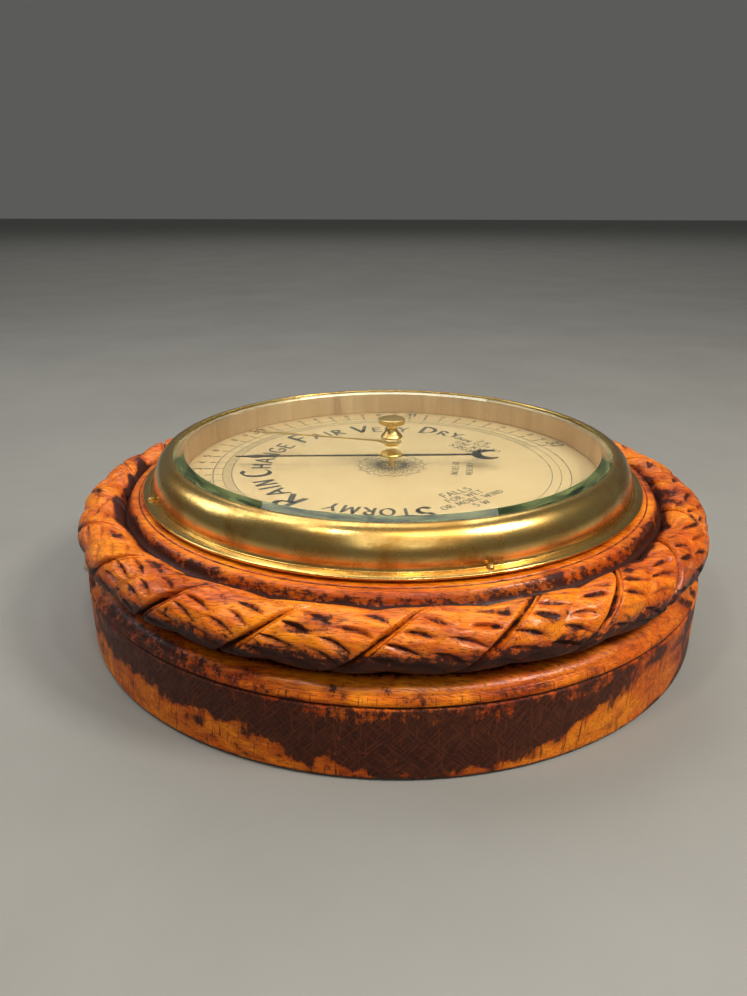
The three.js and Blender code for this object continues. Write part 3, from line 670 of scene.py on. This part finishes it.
def cutDepthAt(x, y, length, width, tilt):
    # share of full depth inside one lens-shaped gouge cut, steepest along its upper edge, and place across it
    run = (x * cos(tilt) + y * sin(tilt)) / length
    taper = np.clip(1 - run ** 2, 0, 1)
    side = (-x * sin(tilt) + y * cos(tilt)) / (width * np.maximum(taper, 0.02))
    wedge = np.where(side < 0.5, (1 + side) / 1.5, (1 - side) / 0.5)
    return np.clip(wedge, 0, 1) * taper ** 0.6, side


def makeRope(shape):
    strands, columns = shape["strands"], shape["columns"]
    pitch = 360 / strands
    part = np.linspace(0, 1, columns, endpoint=False)
    part = part - 0.45 / (2 * pi) * np.sin(2 * pi * part)  # closer together in the valleys
    along = np.concatenate([(k + part) * pitch for k in range(strands)])  # degrees, from the first valley
    rows = [np.linspace(low, high, count, endpoint=False) for low, high, count in shape["rows"]]
    section = np.concatenate(rows)[:, None]
    strand = np.repeat(np.arange(strands), columns)
    perAlong, perSection = radians(shape["centreR"] + shape["radius"]), radians(shape["radius"])

    # valleys between strands, with a fine second line beside each
    offset = (along + pitch / 2) % pitch - pitch / 2
    wander = 0.12 * np.sin(np.radians(section * 2.3) + 1.7 * strand)
    wander = wander + 0.08 * np.sin(np.radians(section * 5.1) + 2.9 * strand)
    across = (offset + wander) * perAlong
    opened = 1 - 0.45 * ease(section, 35, 105)  # shallower and narrower over the top
    inValley = np.clip(1 - np.abs(across) / (shape["valleyWidth"] * opened), 0, 1)
    sink = shape["valley"] * opened * inValley ** 1.15
    sink = sink + shape["crown"] * (np.abs(across) / (pitch / 2 * perAlong)) ** 2.4
    place, width, depth = shape["secondLine"]
    second = np.clip(1 - np.abs(across - place) / width, 0, 1)
    sink = sink + depth * second
    # painted shade down the valleys and along the second lines, heavier on the rope's lower half
    lower = 1 - ease(section, -30, 70)
    stainAndShade = (0.55 + 0.45 * lower) * np.exp(-(across / (1.3 * opened)) ** 2) + (0.25 + 0.35 * lower) * second

    draw = random.Random(shape["seed"])
    alongWander, upWander = shape["cutWander"]
    shallowShare, shallowDepth = shape["shallow"]
    for k, column in ((k, column) for k in range(strands) for column in shape["cutPlaces"]):
        shift = draw.uniform(-shape["cutShift"], shape["cutShift"])
        for row in shape["cutRows"]:
            start = k * pitch + column + draw.uniform(-alongWander, alongWander)
            up = row + shift + draw.uniform(-upWander, upWander)
            length, width, depth = (draw.uniform(*shape[key]) for key in ("cutLength", "cutWidth", "cutDepth"))
            tilt = radians(draw.uniform(*shape["cutTilt"]))
            fade = float(1 - 0.5 * ease(np.array(float(up)), 75, 112))
            fade = fade * (shallowDepth if draw.random() < shallowShare else 1)
            near = np.ix_(np.abs(section[:, 0] - up) < 30, np.abs(along - start) < 4.4)
            rise = section[near[0][:, 0]] - up
            x = (along[near[1]] + shape["lean"] * rise - start) * perAlong
            carved, side = cutDepthAt(x, rise * perSection + 0 * x, length, width, tilt)
            kept = 0.35 * sink[near] + 0.45 * sink[near] * (1 - carved)
            sink[near] = np.maximum(sink[near], kept + depth * fade * carved)
            # painted shade inside each cut, darkest towards its upper edge
            shade = fade ** 1.5 * carved ** 0.6 * (0.32 + 0.42 * ease(side, 0, 0.7))
            stainAndShade[near] = np.maximum(stainAndShade[near], shade)

    # hand carving leaves the surface uneven; painted shade darkens the rope low down and along the inner side by the
    # cove, and random stain blotches lie over all
    turn = along / pitch * 6
    rough = 0.6 * patchNoise(turn, section / 22, 5, 132) + 0.4 * patchNoise(turn * 2, section / 11, 6, 264)
    bulge = shape["radius"] - sink - shape["unevenness"] * rough
    blotch = 0.5 * patchNoise(along / pitch * 3, section / 50, 7, 66)
    blotch = blotch + 0.5 * patchNoise(turn, section / 25, 8, 132)
    stainAndShade = np.maximum(stainAndShade, 0.95 * (1 - ease(section + 30 * (blotch - 0.5), -45, 40)))
    stainAndShade = np.maximum(stainAndShade, ease(section + 40 * (blotch - 0.5), 112, 140) * 0.62)
    stainAndShade = np.clip(stainAndShade + 0.42 * ease(blotch, 0.45, 0.85), 0, 1)

    angle = np.radians(shape["start"] + along + shape["lean"] * section)
    closing = np.radians(section)
    height = shape["centreZ"] + bulge * np.sin(closing)
    points = ringPoints(shape["centreR"] + bulge * np.cos(closing), angle, height)
    faces = gridFaces(len(section), len(along), False)
    return addPiece("rope", points, faces, "oak", ["rope_ring"], stainAndShade, sharp=60)


makeRope(ropeShape)
print("rope carved")

# ---- bezel: flat flange, groove and dome, spun from one sheet
bezelShape = {
    "flangeR": 120.2, "footZ": 63.9, "domeR": 115.3, "crownR": 106.0, "topZ": 80.4, "lipR": 105.2, "sheet": 1.2,
}


def makeBezel(shape):
    foot, top = shape["footZ"], shape["topZ"]
    domeFoot = foot + 2.4

    def dome(inset, start, end, steps):
        turn = np.radians(np.linspace(start, end, steps))
        wide, tall = shape["domeR"] - shape["crownR"] - inset, top - domeFoot - inset
        return [(shape["crownR"] + wide * cos(a), domeFoot + tall * sin(a), 0) for a in turn]

    corners = [
        (shape["flangeR"], foot, 0.3), (shape["flangeR"], foot + 0.85, 0.4),
        (shape["flangeR"] - 0.9, foot + 1.3, 0.8), (117.3, foot + 1.75, 0.7), (116.7, foot + 1.65, 0.3),
        (116.3, foot + 1.15, 0.25), (115.7, foot + 1.25, 0.25), *dome(0, 0, 84, 22),
        (105.9, top - 0.02, 0.5), (shape["lipR"] + 0.1, top - 0.12, 0.3), (shape["lipR"], top - 0.85, 0.15),
        *dome(shape["sheet"], 78, 0, 12), (113.9, foot + 0.6, 0.3),
    ]
    return lathed("bezelRing", corners, "bezel", ["bezel"], 360, sharp=40)


makeBezel(bezelShape)

# ---- small slotted pins through the flange
pinShape = {
    "radius": 1.5, "rise": 2.2, "slot": 0.45, "slotDepth": 0.45, "sides": 36,
    "rows": ((1, 0.0), (1, 0.45), (0.92, 0.72), (0.7, 0.92), (0.35, 1.0)),  # shares of radius and rise
    "turns": (0.7, 2.6, 4.5, 6.4),  # of the slots, in radians
}


def makePin(name, x, y, top, turn, stands, shape):
    rise, sides = shape["rise"], shape["sides"]
    base, sunk = top - rise, rise * shape["slotDepth"]
    points = []
    for wide, share in shape["rows"]:
        radius = shape["radius"] * wide
        for k in range(sides):
            a = 2 * pi * k / sides
            px, py = radius * cos(a), radius * sin(a)
            inSlot = abs(py) < shape["slot"] * 0.5 and share > 0.5
            points.append((px, py, base + rise * share - (sunk if inSlot else 0)))
    points.append((0, 0, top - sunk))
    c, s = cos(turn), sin(turn)
    spots = [(x + c * px - s * py, y + s * px + c * py, pz) for px, py, pz in points]
    faces = gridFaces(len(shape["rows"]), sides, False)
    last = (len(shape["rows"]) - 1) * sides
    faces += [(last + k, last + (k + 1) % sides, len(spots) - 1) for k in range(sides)]
    faces.append(tuple(reversed(range(sides))))
    return addPiece(name, np.array(spots) * mm, faces, "fittings", [stands], sharp=25)


for number, turn in enumerate(pinShape["turns"], 1):
    low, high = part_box(f"bezel_screw_{number}")
    x, y = (low[0] + high[0]) / 2 / mm, (low[1] + high[1]) / 2 / mm
    makePin(f"bezelPin_{number}", x, y, high[2] / mm, turn, f"bezel_screw_{number}", pinShape)

# ---- glass with its ground bevel, and the wall that it rests on
glassShape = [
    (3.8, 76.5, 0.15), (105.85, 76.5, 0.2), (105.85, 79.0, 0.2), (100.2, 80.9, 0), (3.8, 80.9, 0.15),
]
lathed("bevelledGlass", glassShape, "glass", ["glass"], 360, sharp=12)
sightShape = [
    (101.6, 63.8, 0.1), (102.6, 63.8, 0.1), (102.6, 75.2, 0.3), (105.8, 75.2, 0.1),
    (105.8, 76.2, 0.1), (102.2, 76.2, 0.5), (101.6, 75.2, 0.4),
]
lathed("sightWall", sightShape, "sight", ["sight_ring"], 300)
dialShape = [(2, 62.4, 0), (103, 62.4, 0), (103, 63.5, 0.2), (2, 63.5, 0.2)]
lathed("dialDisc", dialShape, "dial", ["dial"], 240)
print("bezel, glass and dial turned")

# ---- dial print, drawn with a broad pen
penStrokes = {
    # width, then strokes: points as x y, or arcs as centre, radii, from, to; all for a letter of height one
    "A": "0.74 | 0 0, 0.37 1, 0.74 0 | 0.14 0.34, 0.6 0.34",
    "C": "0.66 | arc 0.4 0.5 0.38 0.5 55 305",
    "D": "0.7 | 0.08 0, 0.08 1 | arc 0.1 0.5 0.55 0.5 -90 90",
    "E": "0.6 | 0.55 1, 0.08 1, 0.08 0, 0.57 0 | 0.08 0.52, 0.46 0.52",
    "F": "0.56 | 0.56 1, 0.08 1, 0.08 0 | 0.08 0.52, 0.44 0.52",
    "G": "0.72 | arc 0.4 0.5 0.38 0.5 55 330 | 0.45 0.44, 0.72 0.44, 0.72 0.12",
    "H": "0.68 | 0.08 0, 0.08 1 | 0.6 0, 0.6 1 | 0.08 0.5, 0.6 0.5",
    "I": "0.22 | 0.11 0, 0.11 1",
    "L": "0.52 | 0.08 1, 0.08 0, 0.52 0",
    "M": "0.88 | 0.04 0, 0.12 1, 0.44 0.15, 0.76 1, 0.84 0",
    "N": "0.68 | 0.08 0, 0.08 1, 0.6 0, 0.6 1",
    "O": "0.78 | arc 0.39 0.5 0.37 0.5 0 360",
    "P": "0.6 | 0.08 0, 0.08 1 | arc 0.12 0.74 0.42 0.26 -90 90",
    "R": "0.68 | 0.08 0, 0.08 1 | arc 0.12 0.74 0.42 0.26 -90 90 | 0.24 0.48, 0.64 0",
    "S": "0.56 | arc 0.29 0.76 0.23 0.24 35 250 | arc 0.27 0.27 0.25 0.27 -145 75",
    "T": "0.66 | 0 1, 0.66 1 | 0.33 1, 0.33 0",
    "U": "0.66 | 0.06 1, 0.06 0.3 | arc 0.33 0.3 0.27 0.3 180 360 | 0.6 0.3, 0.6 1",
    "V": "0.68 | 0 1, 0.34 0, 0.68 1",
    "W": "0.98 | 0 1, 0.24 0, 0.49 0.85, 0.74 0, 0.98 1",
    "Y": "0.66 | 0 1, 0.33 0.48, 0.66 1 | 0.33 0.48, 0.33 0",
    " ": "0.34",
    "0": "0.6 | arc 0.3 0.5 0.27 0.5 0 360",
    "1": "0.34 | 0.04 0.8, 0.2 1, 0.2 0",
    "2": "0.58 | arc 0.29 0.72 0.24 0.28 165 -30 | 0.49 0.58, 0.04 0, 0.56 0",
    "3": "0.56 | arc 0.26 0.76 0.22 0.24 150 -90 | arc 0.25 0.27 0.26 0.27 90 -150",
    "4": "0.6 | 0.44 0, 0.44 1, 0.02 0.3, 0.58 0.3",
    "5": "0.56 | 0.5 1, 0.12 1, 0.08 0.56 | arc 0.25 0.32 0.27 0.32 125 -140",
    "6": "0.58 | arc 0.3 0.3 0.25 0.3 0 360 | 0.06 0.34, 0.16 0.74, 0.44 1",
    "7": "0.54 | 0.02 1, 0.52 1, 0.2 0",
    "8": "0.58 | arc 0.29 0.76 0.21 0.24 0 360 | arc 0.29 0.27 0.26 0.27 0 360",
    "9": "0.58 | arc 0.28 0.7 0.25 0.3 0 360 | 0.52 0.66, 0.42 0.26, 0.14 0",
}


def letterParts(letter):
    width, *parts = penStrokes[letter].split(" | ")
    strokes = []
    for part in parts:
        if part.startswith("arc"):
            x, y, wide, tall, start, end = map(float, part.split()[1:])
            turns = np.radians(np.linspace(start, end, 2 + int(abs(end - start) / 24)))
            strokes.append([(x + wide * cos(a), y + tall * sin(a)) for a in turns])
        else:
            strokes.append([tuple(map(float, spot.split())) for spot in part.split(",")])
    return float(width), strokes


class Print:
    # collects flat ink shapes on the dial, each a thin closed slab
    def __init__(self, low, high):
        self.points, self.faces, self.low, self.high = [], [], low, high

    def slab(self, outline):
        start, n = len(self.points), len(outline)
        self.points += [(x, y, self.low) for x, y in outline] + [(x, y, self.high) for x, y in outline]
        self.faces += [tuple(start + i for i in reversed(range(n))), tuple(start + n + i for i in range(n))]
        self.faces += [(start + i, start + (i + 1) % n, start + n + (i + 1) % n, start + n + i) for i in range(n)]

    def penLine(self, points, wide, thin, slant):
        c, s = cos(slant), sin(slant)
        halves = [(i * wide / 2, j * thin / 2) for i in (-1, 1) for j in (-1, 1)]
        nib = [(c * i - s * j, s * i + c * j) for i, j in halves]
        for (ax, ay), (bx, by) in zip(points[:-1], points[1:]):
            spots = [(x + i, y + j) for x, y in ((ax, ay), (bx, by)) for i, j in nib]
            self.slab([spots[k] for k in convex_hull_2d(spots)])

    def circle(self, radius, width, sides=240, x=0.0, y=0.0):
        for k in range(sides):
            a, b = 2 * pi * k / sides, 2 * pi * (k + 1) / sides
            inner, outer = radius - width / 2, radius + width / 2
            corners = ((inner, a), (outer, a), (outer, b), (inner, b))
            self.slab([(x + r * cos(t), y + r * sin(t)) for r, t in corners])

    def tick(self, bearing, inner, outer, width):
        # bearing in degrees clockwise from the top of the dial
        a, half = radians(90 - bearing), width / 2
        c, s = cos(a), sin(a)
        corners = ((inner, -half), (outer, -half), (outer, half), (inner, half))
        self.slab([(c * r - s * w, s * r + c * w) for r, w in corners])

    def arcWord(self, word, bearing, radius, height, first=1.0, nib=0.17, spacing=0.16, rest=1.0):
        sizes = [height * (first if i == 0 or word[i - 1] == " " else rest) for i in range(len(word))]
        widths = [letterParts(ch)[0] * size + spacing * height for ch, size in zip(word, sizes)]
        at = -sum(widths) / 2
        for ch, size, width in zip(word, sizes, widths):
            turn = radians(bearing) + (at + width / 2) / radius
            self.letter(ch, sin(turn) * radius, cos(turn) * radius, -turn, size, nib * size)
            at += width

    def letter(self, ch, x, y, turn, size, nib):
        c, s = cos(turn), sin(turn)
        width, strokes = letterParts(ch)
        for stroke in strokes:
            flat = [(px * size - width * size / 2, py * size) for px, py in stroke]
            spots = [(x + c * px - s * py, y + s * px + c * py) for px, py in flat]
            self.penLine(spots, nib, nib * 0.30, turn + radians(32))

    def line(self, words, x, y, size, turn=0.0, nib=0.14, spacing=0.2):
        widths = [(letterParts(ch)[0] + spacing) * size for ch in words]
        c, s = cos(turn), sin(turn)
        at = -sum(widths) / 2
        for ch, width in zip(words, widths):
            middle = at + width / 2
            self.letter(ch, x + c * middle, y + s * middle, turn, size, nib * size)
            at += width


dialPrint = {
    "low": 63.47, "high": 63.54,
    "circles": ((79.0, 0.32), (83.4, 0.28), (88.0, 0.42)),
    "span": 150,  # degrees either side of the top
    "perInch": 60,  # degrees
    "first": 27,
    "tickWidth": 0.28,
    "blocks": {"foot": 88.9, "tip": 93.4, "tipAtTenth": 92.0, "width": 0.9, "inchWidth": 1.2},
    # radius of the foot, height
    "inchFigures": (93.8, 6.4), "tenthFigures": (94.4, 3.8), "figureNib": 0.22,
    # word, bearing, radius of its foot, height
    "words": (
        ("STORMY", -92, 58.0, 8.6), ("RAIN", -44, 60.5, 10.6), ("CHANGE", 0, 60.5, 9.8),
        ("FAIR", 44, 60.5, 10.0), ("VERY DRY", 91.5, 60.0, 9.0),
    ),
    # bearing, then lines outwards
    "notes": ((-135, "FALLS/FOR WET/OR MORE WIND/S W"), (135, "RISES/FOR DRY/OR LESS WIND/N E")),
    "noteStart": 50, "notePitch": 5.4, "noteHeights": (4.6, 3.7), "noteNib": 0.17,
    # line, height up the dial
    "unit": (("INCHES OF", -33.5), ("MERCURY", -40.5)), "unitHeight": 3.0, "unitNib": 0.15,
}
rosette = {
    "petals": 16, "heart": 3,
    "layers": ((16.2, 3.4), (13.0, 2.4), (9.5, 1.5)),  # reach, half width
    "pen": (0.26, 0.18, 0.6),
    "beadR": 17.3, "beadTurn": 0.196, "bead": (0.75, 0.2, 10),
    "circles": (3.2, 5.2, 16.3), "circleWidth": 0.22,
}


def printScale(ink, look):
    inner, middle, outer = (radius for radius, width in look["circles"])
    for radius, width in look["circles"]:
        ink.circle(radius, width)
    blocks, span = look["blocks"], look["span"]
    fiftieth, tenth = look["perInch"] / 50, look["perInch"] / 10
    for k in range(round(2 * span / fiftieth) + 1):
        bearing = fiftieth * k - span
        ink.tick(bearing, inner, middle if k % 5 else outer, look["tickWidth"])
        if k % 5 == 0:
            tip, width = blocks["tip" if k % 10 else "tipAtTenth"], blocks["width" if k % 50 else "inchWidth"]
            ink.tick(bearing, blocks["foot"], tip, width)
    for k in range(round(2 * span / tenth) + 1):
        if k % 10:
            ink.arcWord(str(k % 10), tenth * k - span, *look["tenthFigures"], nib=look["figureNib"])
        else:
            inch = str(look["first"] + k // 10)
            ink.arcWord(inch, tenth * k - span, *look["inchFigures"], nib=look["figureNib"], spacing=0.14)


def printWords(ink, look):
    for word, bearing, radius, height in look["words"]:
        ink.arcWord(word, bearing, radius, height, first=1.4, nib=0.19, spacing=0.2, rest=0.92)
    for bearing, lines in look["notes"]:
        a = radians(90 - bearing)
        for k, words in enumerate(lines.split("/")):
            reach = look["noteStart"] + look["notePitch"] * k
            size, turn = look["noteHeights"][min(k, 1)], radians(-bearing) + pi
            ink.line(words, cos(a) * reach, sin(a) * reach, size, turn, nib=look["noteNib"])
    for words, y in look["unit"]:
        ink.line(words, 0, y, look["unitHeight"], nib=look["unitNib"])


def printRosette(ink, look):
    # overlapping petals round the hands' arbor
    heart, beadR = look["heart"], look["beadR"]
    for k in range(look["petals"]):
        turn = 2 * pi * k / look["petals"]
        c, s = cos(turn), sin(turn)
        for reach, belly in look["layers"]:
            for sign in (-1, 1):
                run = []
                for t in np.linspace(0, 1, 9):
                    out, side = heart + (reach - heart) * t, sign * belly * sin(pi * t)
                    run.append((c * out - s * side, s * out + c * side))
                ink.penLine(run, *look["pen"])
        beadTurn = turn + look["beadTurn"]
        ink.circle(*look["bead"], beadR * cos(beadTurn), beadR * sin(beadTurn))
    for radius in look["circles"]:
        ink.circle(radius, look["circleWidth"], 72)


def makePrint(look):
    ink = Print(look["low"], look["high"])
    printScale(ink, look)
    printWords(ink, look)
    printRosette(ink, rosette)
    points = np.array(ink.points) * mm
    return addPiece("dialPrint", points, ink.faces, "ink", [], sharp=30, normals=False)


makePrint(dialPrint)
print("dial printed")


# ---- hands
def platePiece(name, outline, low, high, turn, finish, body, stands):
    # a flat plate cut to the outline, with square edges
    work = bmesh.new()
    c, s = cos(turn), sin(turn)
    ring = [work.verts.new(((c * x - s * y) * mm, (s * x + c * y) * mm, low * mm)) for x, y in outline]
    face = work.faces.new(ring)
    bmesh.ops.triangulate(work, faces=[face])
    lifted = bmesh.ops.extrude_face_region(work, geom=list(work.faces))
    tops = [v for v in lifted["geom"] if isinstance(v, bmesh.types.BMVert)]
    bmesh.ops.translate(work, verts=tops, vec=(0, 0, (high - low) * mm))
    bmesh.ops.recalc_face_normals(work, faces=work.faces)
    mesh = bpy.data.meshes.new(name)
    work.to_mesh(mesh)
    work.free()
    return placePiece(name, mesh, finish, stands, 30, body)


def arcPoints(x, y, radius, start, end, count):
    turns = np.radians(np.linspace(start, end, count))
    return [(x + radius * cos(a), y + radius * sin(a)) for a in turns]


def bothSides(half):
    return half + [(-x, y) for x, y in reversed(half[1:-1])]


indicatorShape = {"z": 68.5, "thickness": 0.5, "turn": 10}
setShape = {"z": 75.5, "thickness": 0.55, "turn": -6}
crescent = {"y": -47.5, "outer": 7.2, "innerY": -50.4, "inner": 5.4, "tip": (4.81, -52.86)}


def indicatorOutline(moon):
    right = [(0, 77.5), (0.4, 74.5), (0.8, 71.5), (2.0, 67.4), (1.4, 65), (0.4, 62), (0.5, 40), (0.75, 6)]
    right += [(2.2, 4.2), (3.1, 1.5), (3.1, -1.5), (2.2, -4.2), (0.85, -6), (0.7, -40.3)]
    tipX, tipY = moon["tip"]
    outerEnd, innerStart = (degrees(atan2(tipY - moon[key], tipX)) for key in ("y", "innerY"))
    outerArc = arcPoints(0, moon["y"], moon["outer"], 82, outerEnd, 22)
    return bothSides(right + outerArc + arcPoints(0, moon["innerY"], moon["inner"], innerStart, 90, 14))


def setOutline():
    right = [(0, 75.5), (0.4, 70.5), (0.9, 68.3), (1.9, 65.2), (0.9, 62), (0.45, 60), (1.0, 58.2), (1.5, 56.5)]
    right += [(1.0, 54.8), (0.45, 53), (0.6, 25), (0.85, 6.5), (2.6, 5.2)]
    return bothSides(right + arcPoints(0, 0, 4.7, 45, -90, 14))


def makeHand(name, outline, shape, finish, body, stands):
    low, high = shape["z"], shape["z"] + shape["thickness"]
    platePiece(name, outline, low, high, radians(shape["turn"]), finish, body, stands)


blade = indicatorOutline(crescent)
makeHand("indicatorBlade", blade, indicatorShape, "blued", "indicator", ["indicator_hand"])
makeHand("setPointer", setOutline(), setShape, "fittings", "setter", ["set_hand"])

bossShape = [
    (0, 69.3, 0), (5.5, 69.3, 0.1), (5.6, 69.6, 0.2), (5.3, 70.05, 0.3), (4.2, 70.65, 0.8), (2.4, 71.25, 0.8),
    (0, 71.4, 0),
]
lathed("handBoss", bossShape, "fittings", ["hand_boss"], 72, False, body="indicator")
colletShape = [(0, 73.7, 0), (2.4, 73.75, 0.4), (3.3, 74.15, 0.4), (3.6, 74.8, 0.2), (3.6, 75.4, 0.1), (0, 75.4, 0)]
lathed("setCollet", colletShape, "fittings", ["set_collet"], 72, False, body="setter")

knobShape = {
    "segments": 240, "meshStep": 0.7, "knurls": 40, "knurlDepth": 0.22,
    "rimR": 6.3, "rim": (88.6, 90.7),
    "corners": [
        (0, 74.5, 0), (1.5, 74.5, 0.1), (1.5, 76.4, 0), (3.5, 76.4, 0.1), (3.5, 81.0, 0), (4.9, 81.0, 0.2),
        (5.4, 81.35, 0.3), (5.35, 81.95, 0.5), (4.6, 82.9, 0.9), (3.7, 83.7, 0.8), (2.9, 85.0, 0.8),
        (2.7, 86.7, 0.7), (3.3, 87.8, 0.5), (4.6, 88.2, 0.4), (6.1, 88.35, 0.2), (6.45, 88.7, 0.15),
        (6.45, 90.55, 0.15), (6.2, 90.85, 0.15), (5.7, 90.95, 0.2), (3.0, 91.1, 1.2), (0, 91.15, 0),
    ],
}


def makeKnob(shape):
    profile = filled(softened(shape["corners"]), shape["meshStep"])
    angle, radius, height = latheRows(profile, shape["segments"])
    low, high = shape["rim"]
    rim = (radius > shape["rimR"]) & (height > low) & (height < high)
    teeth = np.abs(np.sin(shape["knurls"] / 2 * angle)) ** 0.6
    radius = radius * (1 - np.where(rim, shape["knurlDepth"] * (1 - teeth) / np.maximum(radius, 1), 0))
    points, faces = ringPoints(radius, angle, height), gridFaces(len(profile), shape["segments"], False)
    return addPiece("setKnob", points, faces, "fittings", ["set_knob"], sharp=30, body="setter")


makeKnob(knobShape)
print("hands and knob made")

# ---- carried-over nodes keep their shape and get their own finish
nodeFinishes = {
    "fittings": "hanger_plate hanger_screw_1 hanger_screw_2 hanger_screw_3 hand_arbor",
    "tin": "movement_drum",
    "works": """base_plate dial_pillar_1 dial_pillar_2 dial_pillar_3 arbor_cock capsule_lower capsule_upper
        capsule_base_post post_nut link_rod rocker_bearing_1 rocker_bearing_2 hairspring_stud""",
    "steel": """plate_screw_1 plate_screw_2 plate_screw_3 spring_bridge bridge_screw_1 bridge_screw_2 cock_screw_1
        cock_screw_2 capsule_top_post clamp_screw_1 clamp_screw_2 main_lever link_pin rocking_bar chain
        adjusting_screw""",
    "blued": "mainspring hairspring",
}
edgeWidths = {"hanger_plate": 0.35, "hanger_screw": 0.12, "adjusting_screw": 0.12}
for finish, names in nodeFinishes.items():
    for name in names.split():
        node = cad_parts[name]
        for place in node.material_slots:
            place.material = finishes[finish]
        kind = name.rstrip("_0123456789")
        if kind in edgeWidths:
            weld = node.modifiers.new("weld", "WELD")
            weld.merge_threshold = 1e-6
            edges = node.modifiers.new("edges", "BEVEL")
            edges.width, edges.segments, edges.limit_method = edgeWidths[kind] * mm, 2, "ANGLE"


# ---- floor, light and air
floorShape = {
    "half": 12, "below": 0.0002,  # metres
    "pale": (0.27, 0.266, 0.248), "cloud": (0.235, 0.231, 0.214),
}


def floorMaterial(look):
    made, tree = newMaterial("paleFloor")
    cloud = cloudOf(tree, (1, 1, 1), 6, 5)
    speck = cloudOf(tree, (1, 1, 1), 900)
    return finishWith(made, {
        "Base Color": blendColour(tree, levels(tree, cloud, 0, 1, 0.3, 0.7), look["pale"], look["cloud"]),
        "Roughness": levels(tree, cloud, 0.55, 0.7), "Normal": bumpOf(tree, speck, 0.0002, 0.3),
    })


def makeFloor(shape):
    half = shape["half"]
    mesh = bpy.data.meshes.new("floor")
    mesh.from_pydata([(-half, -half, 0), (half, -half, 0), (half, half, 0), (-half, half, 0)], [], [(0, 1, 2, 3)])
    mesh.materials.append(floorMaterial(shape))
    floor = newObject("floor", mesh)
    floor.location.z = -shape["below"]


makeFloor(floorShape)

lampTarget = Vector((0, 0, 0.05))
airColour = (0.105, 0.107, 0.102, 1)
lamps = {
    # name: bearing, elevation, distance, size, watts, colour
    "key": (250, 50, 1.15, 0.26, 8.8, (1.0, 0.93, 0.84)),
    "ceilingLeft": (148, 61, 1.1, 0.09, 1.7, (1.0, 0.94, 0.86)),
    "ceilingMiddle": (200, 62, 1.1, 0.09, 1.7, (1.0, 0.94, 0.86)),
    "ceilingRight": (228, 57, 1.1, 0.08, 1.3, (1.0, 0.94, 0.86)),
    "front": (192, 40, 1.4, 0.9, 2.8, (1.0, 0.94, 0.85)),
    "window": (88, 36, 1.2, 0.45, 2.2, (0.93, 0.97, 1.0)),
    "overhead": (85, 62, 1.2, 0.45, 1.8, (1.0, 0.97, 0.93)),
    "sky": (10, 56, 4.6, 3.2, 62.0, (1.0, 0.98, 0.95)),
}
for name, (bearing, elevation, distance, size, watts, colour) in lamps.items():
    data = bpy.data.lights.new(name, "AREA")
    data.size, data.energy, data.color = size, watts, colour
    lamp = newObject(name, data)
    lamp.location = directionOf(bearing, elevation) * distance
    lamp.rotation_euler = (lampTarget - lamp.location).to_track_quat("-Z", "Y").to_euler()

world = bpy.data.worlds.new("studio")
world.use_nodes = True
world.node_tree.nodes["Background"].inputs["Color"].default_value = airColour
bpy.context.scene.world = world
bpy.context.scene.view_settings.view_transform = "Standard"
print("light set")
